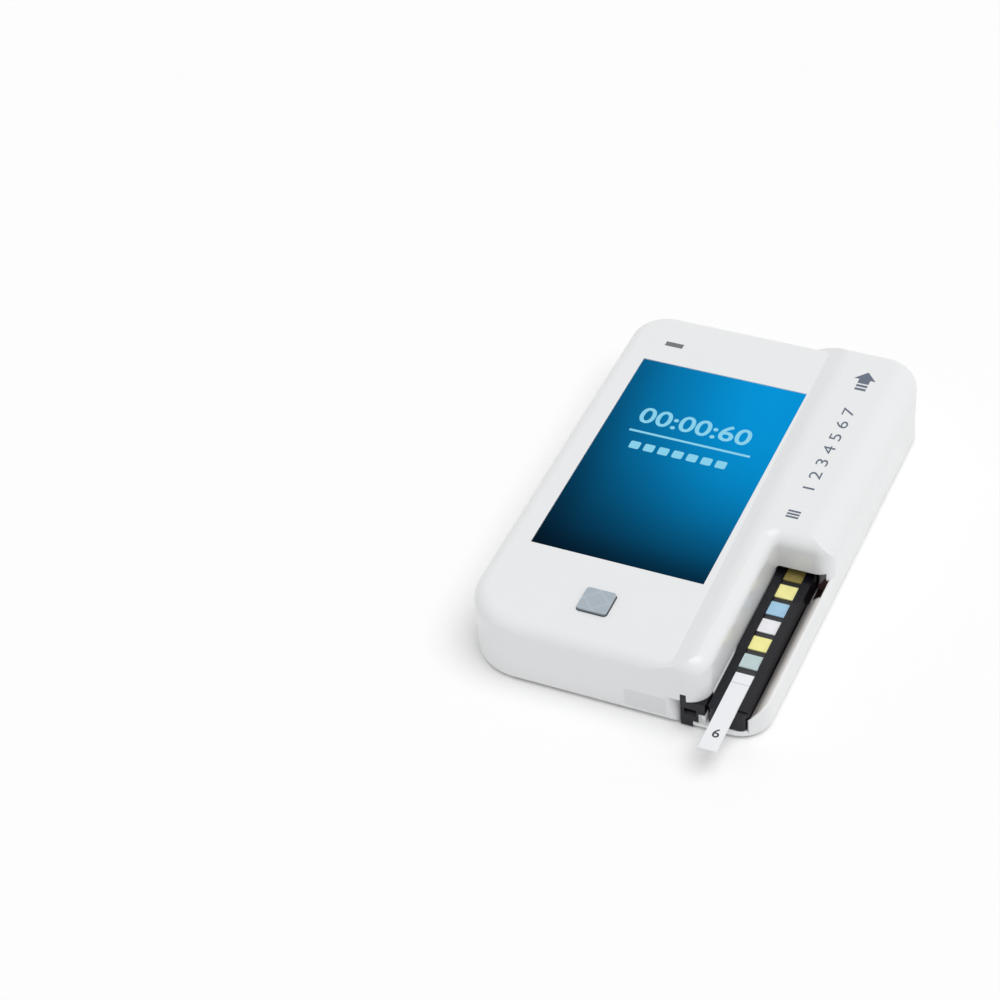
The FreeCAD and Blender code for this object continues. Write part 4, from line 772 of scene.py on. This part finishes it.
def stick_label():
    """A bare pale label on the front, between the corner and the guide block."""
    low, _ = corners_of("bottom_cover")
    left, right, bottom, top = 4.6, 16.2, 2.2, 7.9
    patch = block(left, right, bottom, top, radius=0.5)
    plate = thin_plate("front_label", patch, (0, low.y, 0), (0, -1, 0))
    settle(plate, label_paper, "housing")


def mark_strip():
    """The figure on the strip's free end."""
    low, high = corners_of("test_strip")
    from_side, from_end = 1.75, 4.5
    place = (low.x + from_side, low.y + from_end, high.z)
    figure = digits("strip_figure", "6", place, height=2.9, width=1.85)
    settle(figure, figure_ink, "tray")


lower_cover()
eased_tray()
print_hood()
show_screen()
stick_label()
mark_strip()


def white_floor():
    """A white floor that keeps the shadow, wide enough to fill the view and just under the feet."""
    reach = 6.0
    under_feet = 0.02
    finish = Finish("studio_floor", Specular_IOR_Level=0.1)
    nodes = finish.nodes
    fine = nodes.noise(30.0)
    finish.takes(
        Base_Color=nodes.mixed(fine, (0.975, 0.975, 0.975, 1.0), (0.985, 0.985, 0.985, 1.0)),
        Roughness=nodes.spread(fine, 0.3, 0.7, 0.8, 0.9),
    )
    mesh = bpy.data.meshes.new("studio_floor")
    corners = [(-reach, -reach), (reach, -reach), (reach, reach), (-reach, reach)]
    mesh.from_pydata([(x, y, -under_feet * MM) for x, y in corners], [], [(0, 1, 2, 3)])
    floor = bpy.data.objects.new("studio_floor", mesh)
    bpy.context.collection.objects.link(floor)
    mesh.materials.append(finish.material)


SKY_LEVEL = 0.6
KEY_FROM = Vector((0.15, 0.0, 0.42))


def studio_light():
    """Soft light from all round, and a broad key from the right, which together light a level
    surface so that a colour renders as it is written."""
    world = bpy.data.worlds.new("studio")
    bpy.context.scene.world = world
    world.use_nodes = True
    nodes = Shading(world.node_tree)
    path = nodes.place("ShaderNodeLightPath").outputs
    seen = nodes.work("MAXIMUM", path["Is Camera Ray"], path["Is Glossy Ray"])
    seen = nodes.work("MAXIMUM", seen, path["Is Transmission Ray"])
    background = world.node_tree.nodes["Background"]
    background.inputs["Color"].default_value = (1.0, 1.0, 1.0, 1.0)
    nodes.feed(background.inputs["Strength"], nodes.spread(seen, 0.0, 1.0, SKY_LEVEL, 1.0))

    lamp = bpy.data.lights.new("key", "SUN")
    lamp.angle = math.radians(50)
    lamp.energy = (1.0 - SKY_LEVEL) * math.pi / KEY_FROM.normalized().z
    key = bpy.data.objects.new("key", lamp)
    key.rotation_euler = KEY_FROM.to_track_quat("Z", "Y").to_euler()
    bpy.context.collection.objects.link(key)


def set_camera():
    """The photograph's viewing angle: its own right, down and ahead, as fitted to the housing."""
    place = Vector((201.17, -496.67, 502.70))
    right = Vector((0.91183001, 0.40459383, -0.06978444))
    down = Vector((0.22340102, -0.63153748, -0.74246373))
    ahead = Vector((-0.34446774, 0.6614108, -0.6662415))
    data = bpy.data.cameras.new("camera")
    data.lens = 96.43
    data.sensor_width = 36.0
    data.clip_start = 0.01
    camera = bpy.data.objects.new("camera", data)
    turn = Matrix((right, -down, -ahead)).transposed().to_4x4()
    camera.matrix_world = Matrix.Translation(place * MM) @ turn
    bpy.context.collection.objects.link(camera)
    bpy.context.scene.camera = camera


white_floor()
studio_light()
set_camera()
bpy.context.scene.view_settings.view_transform = "Standard"
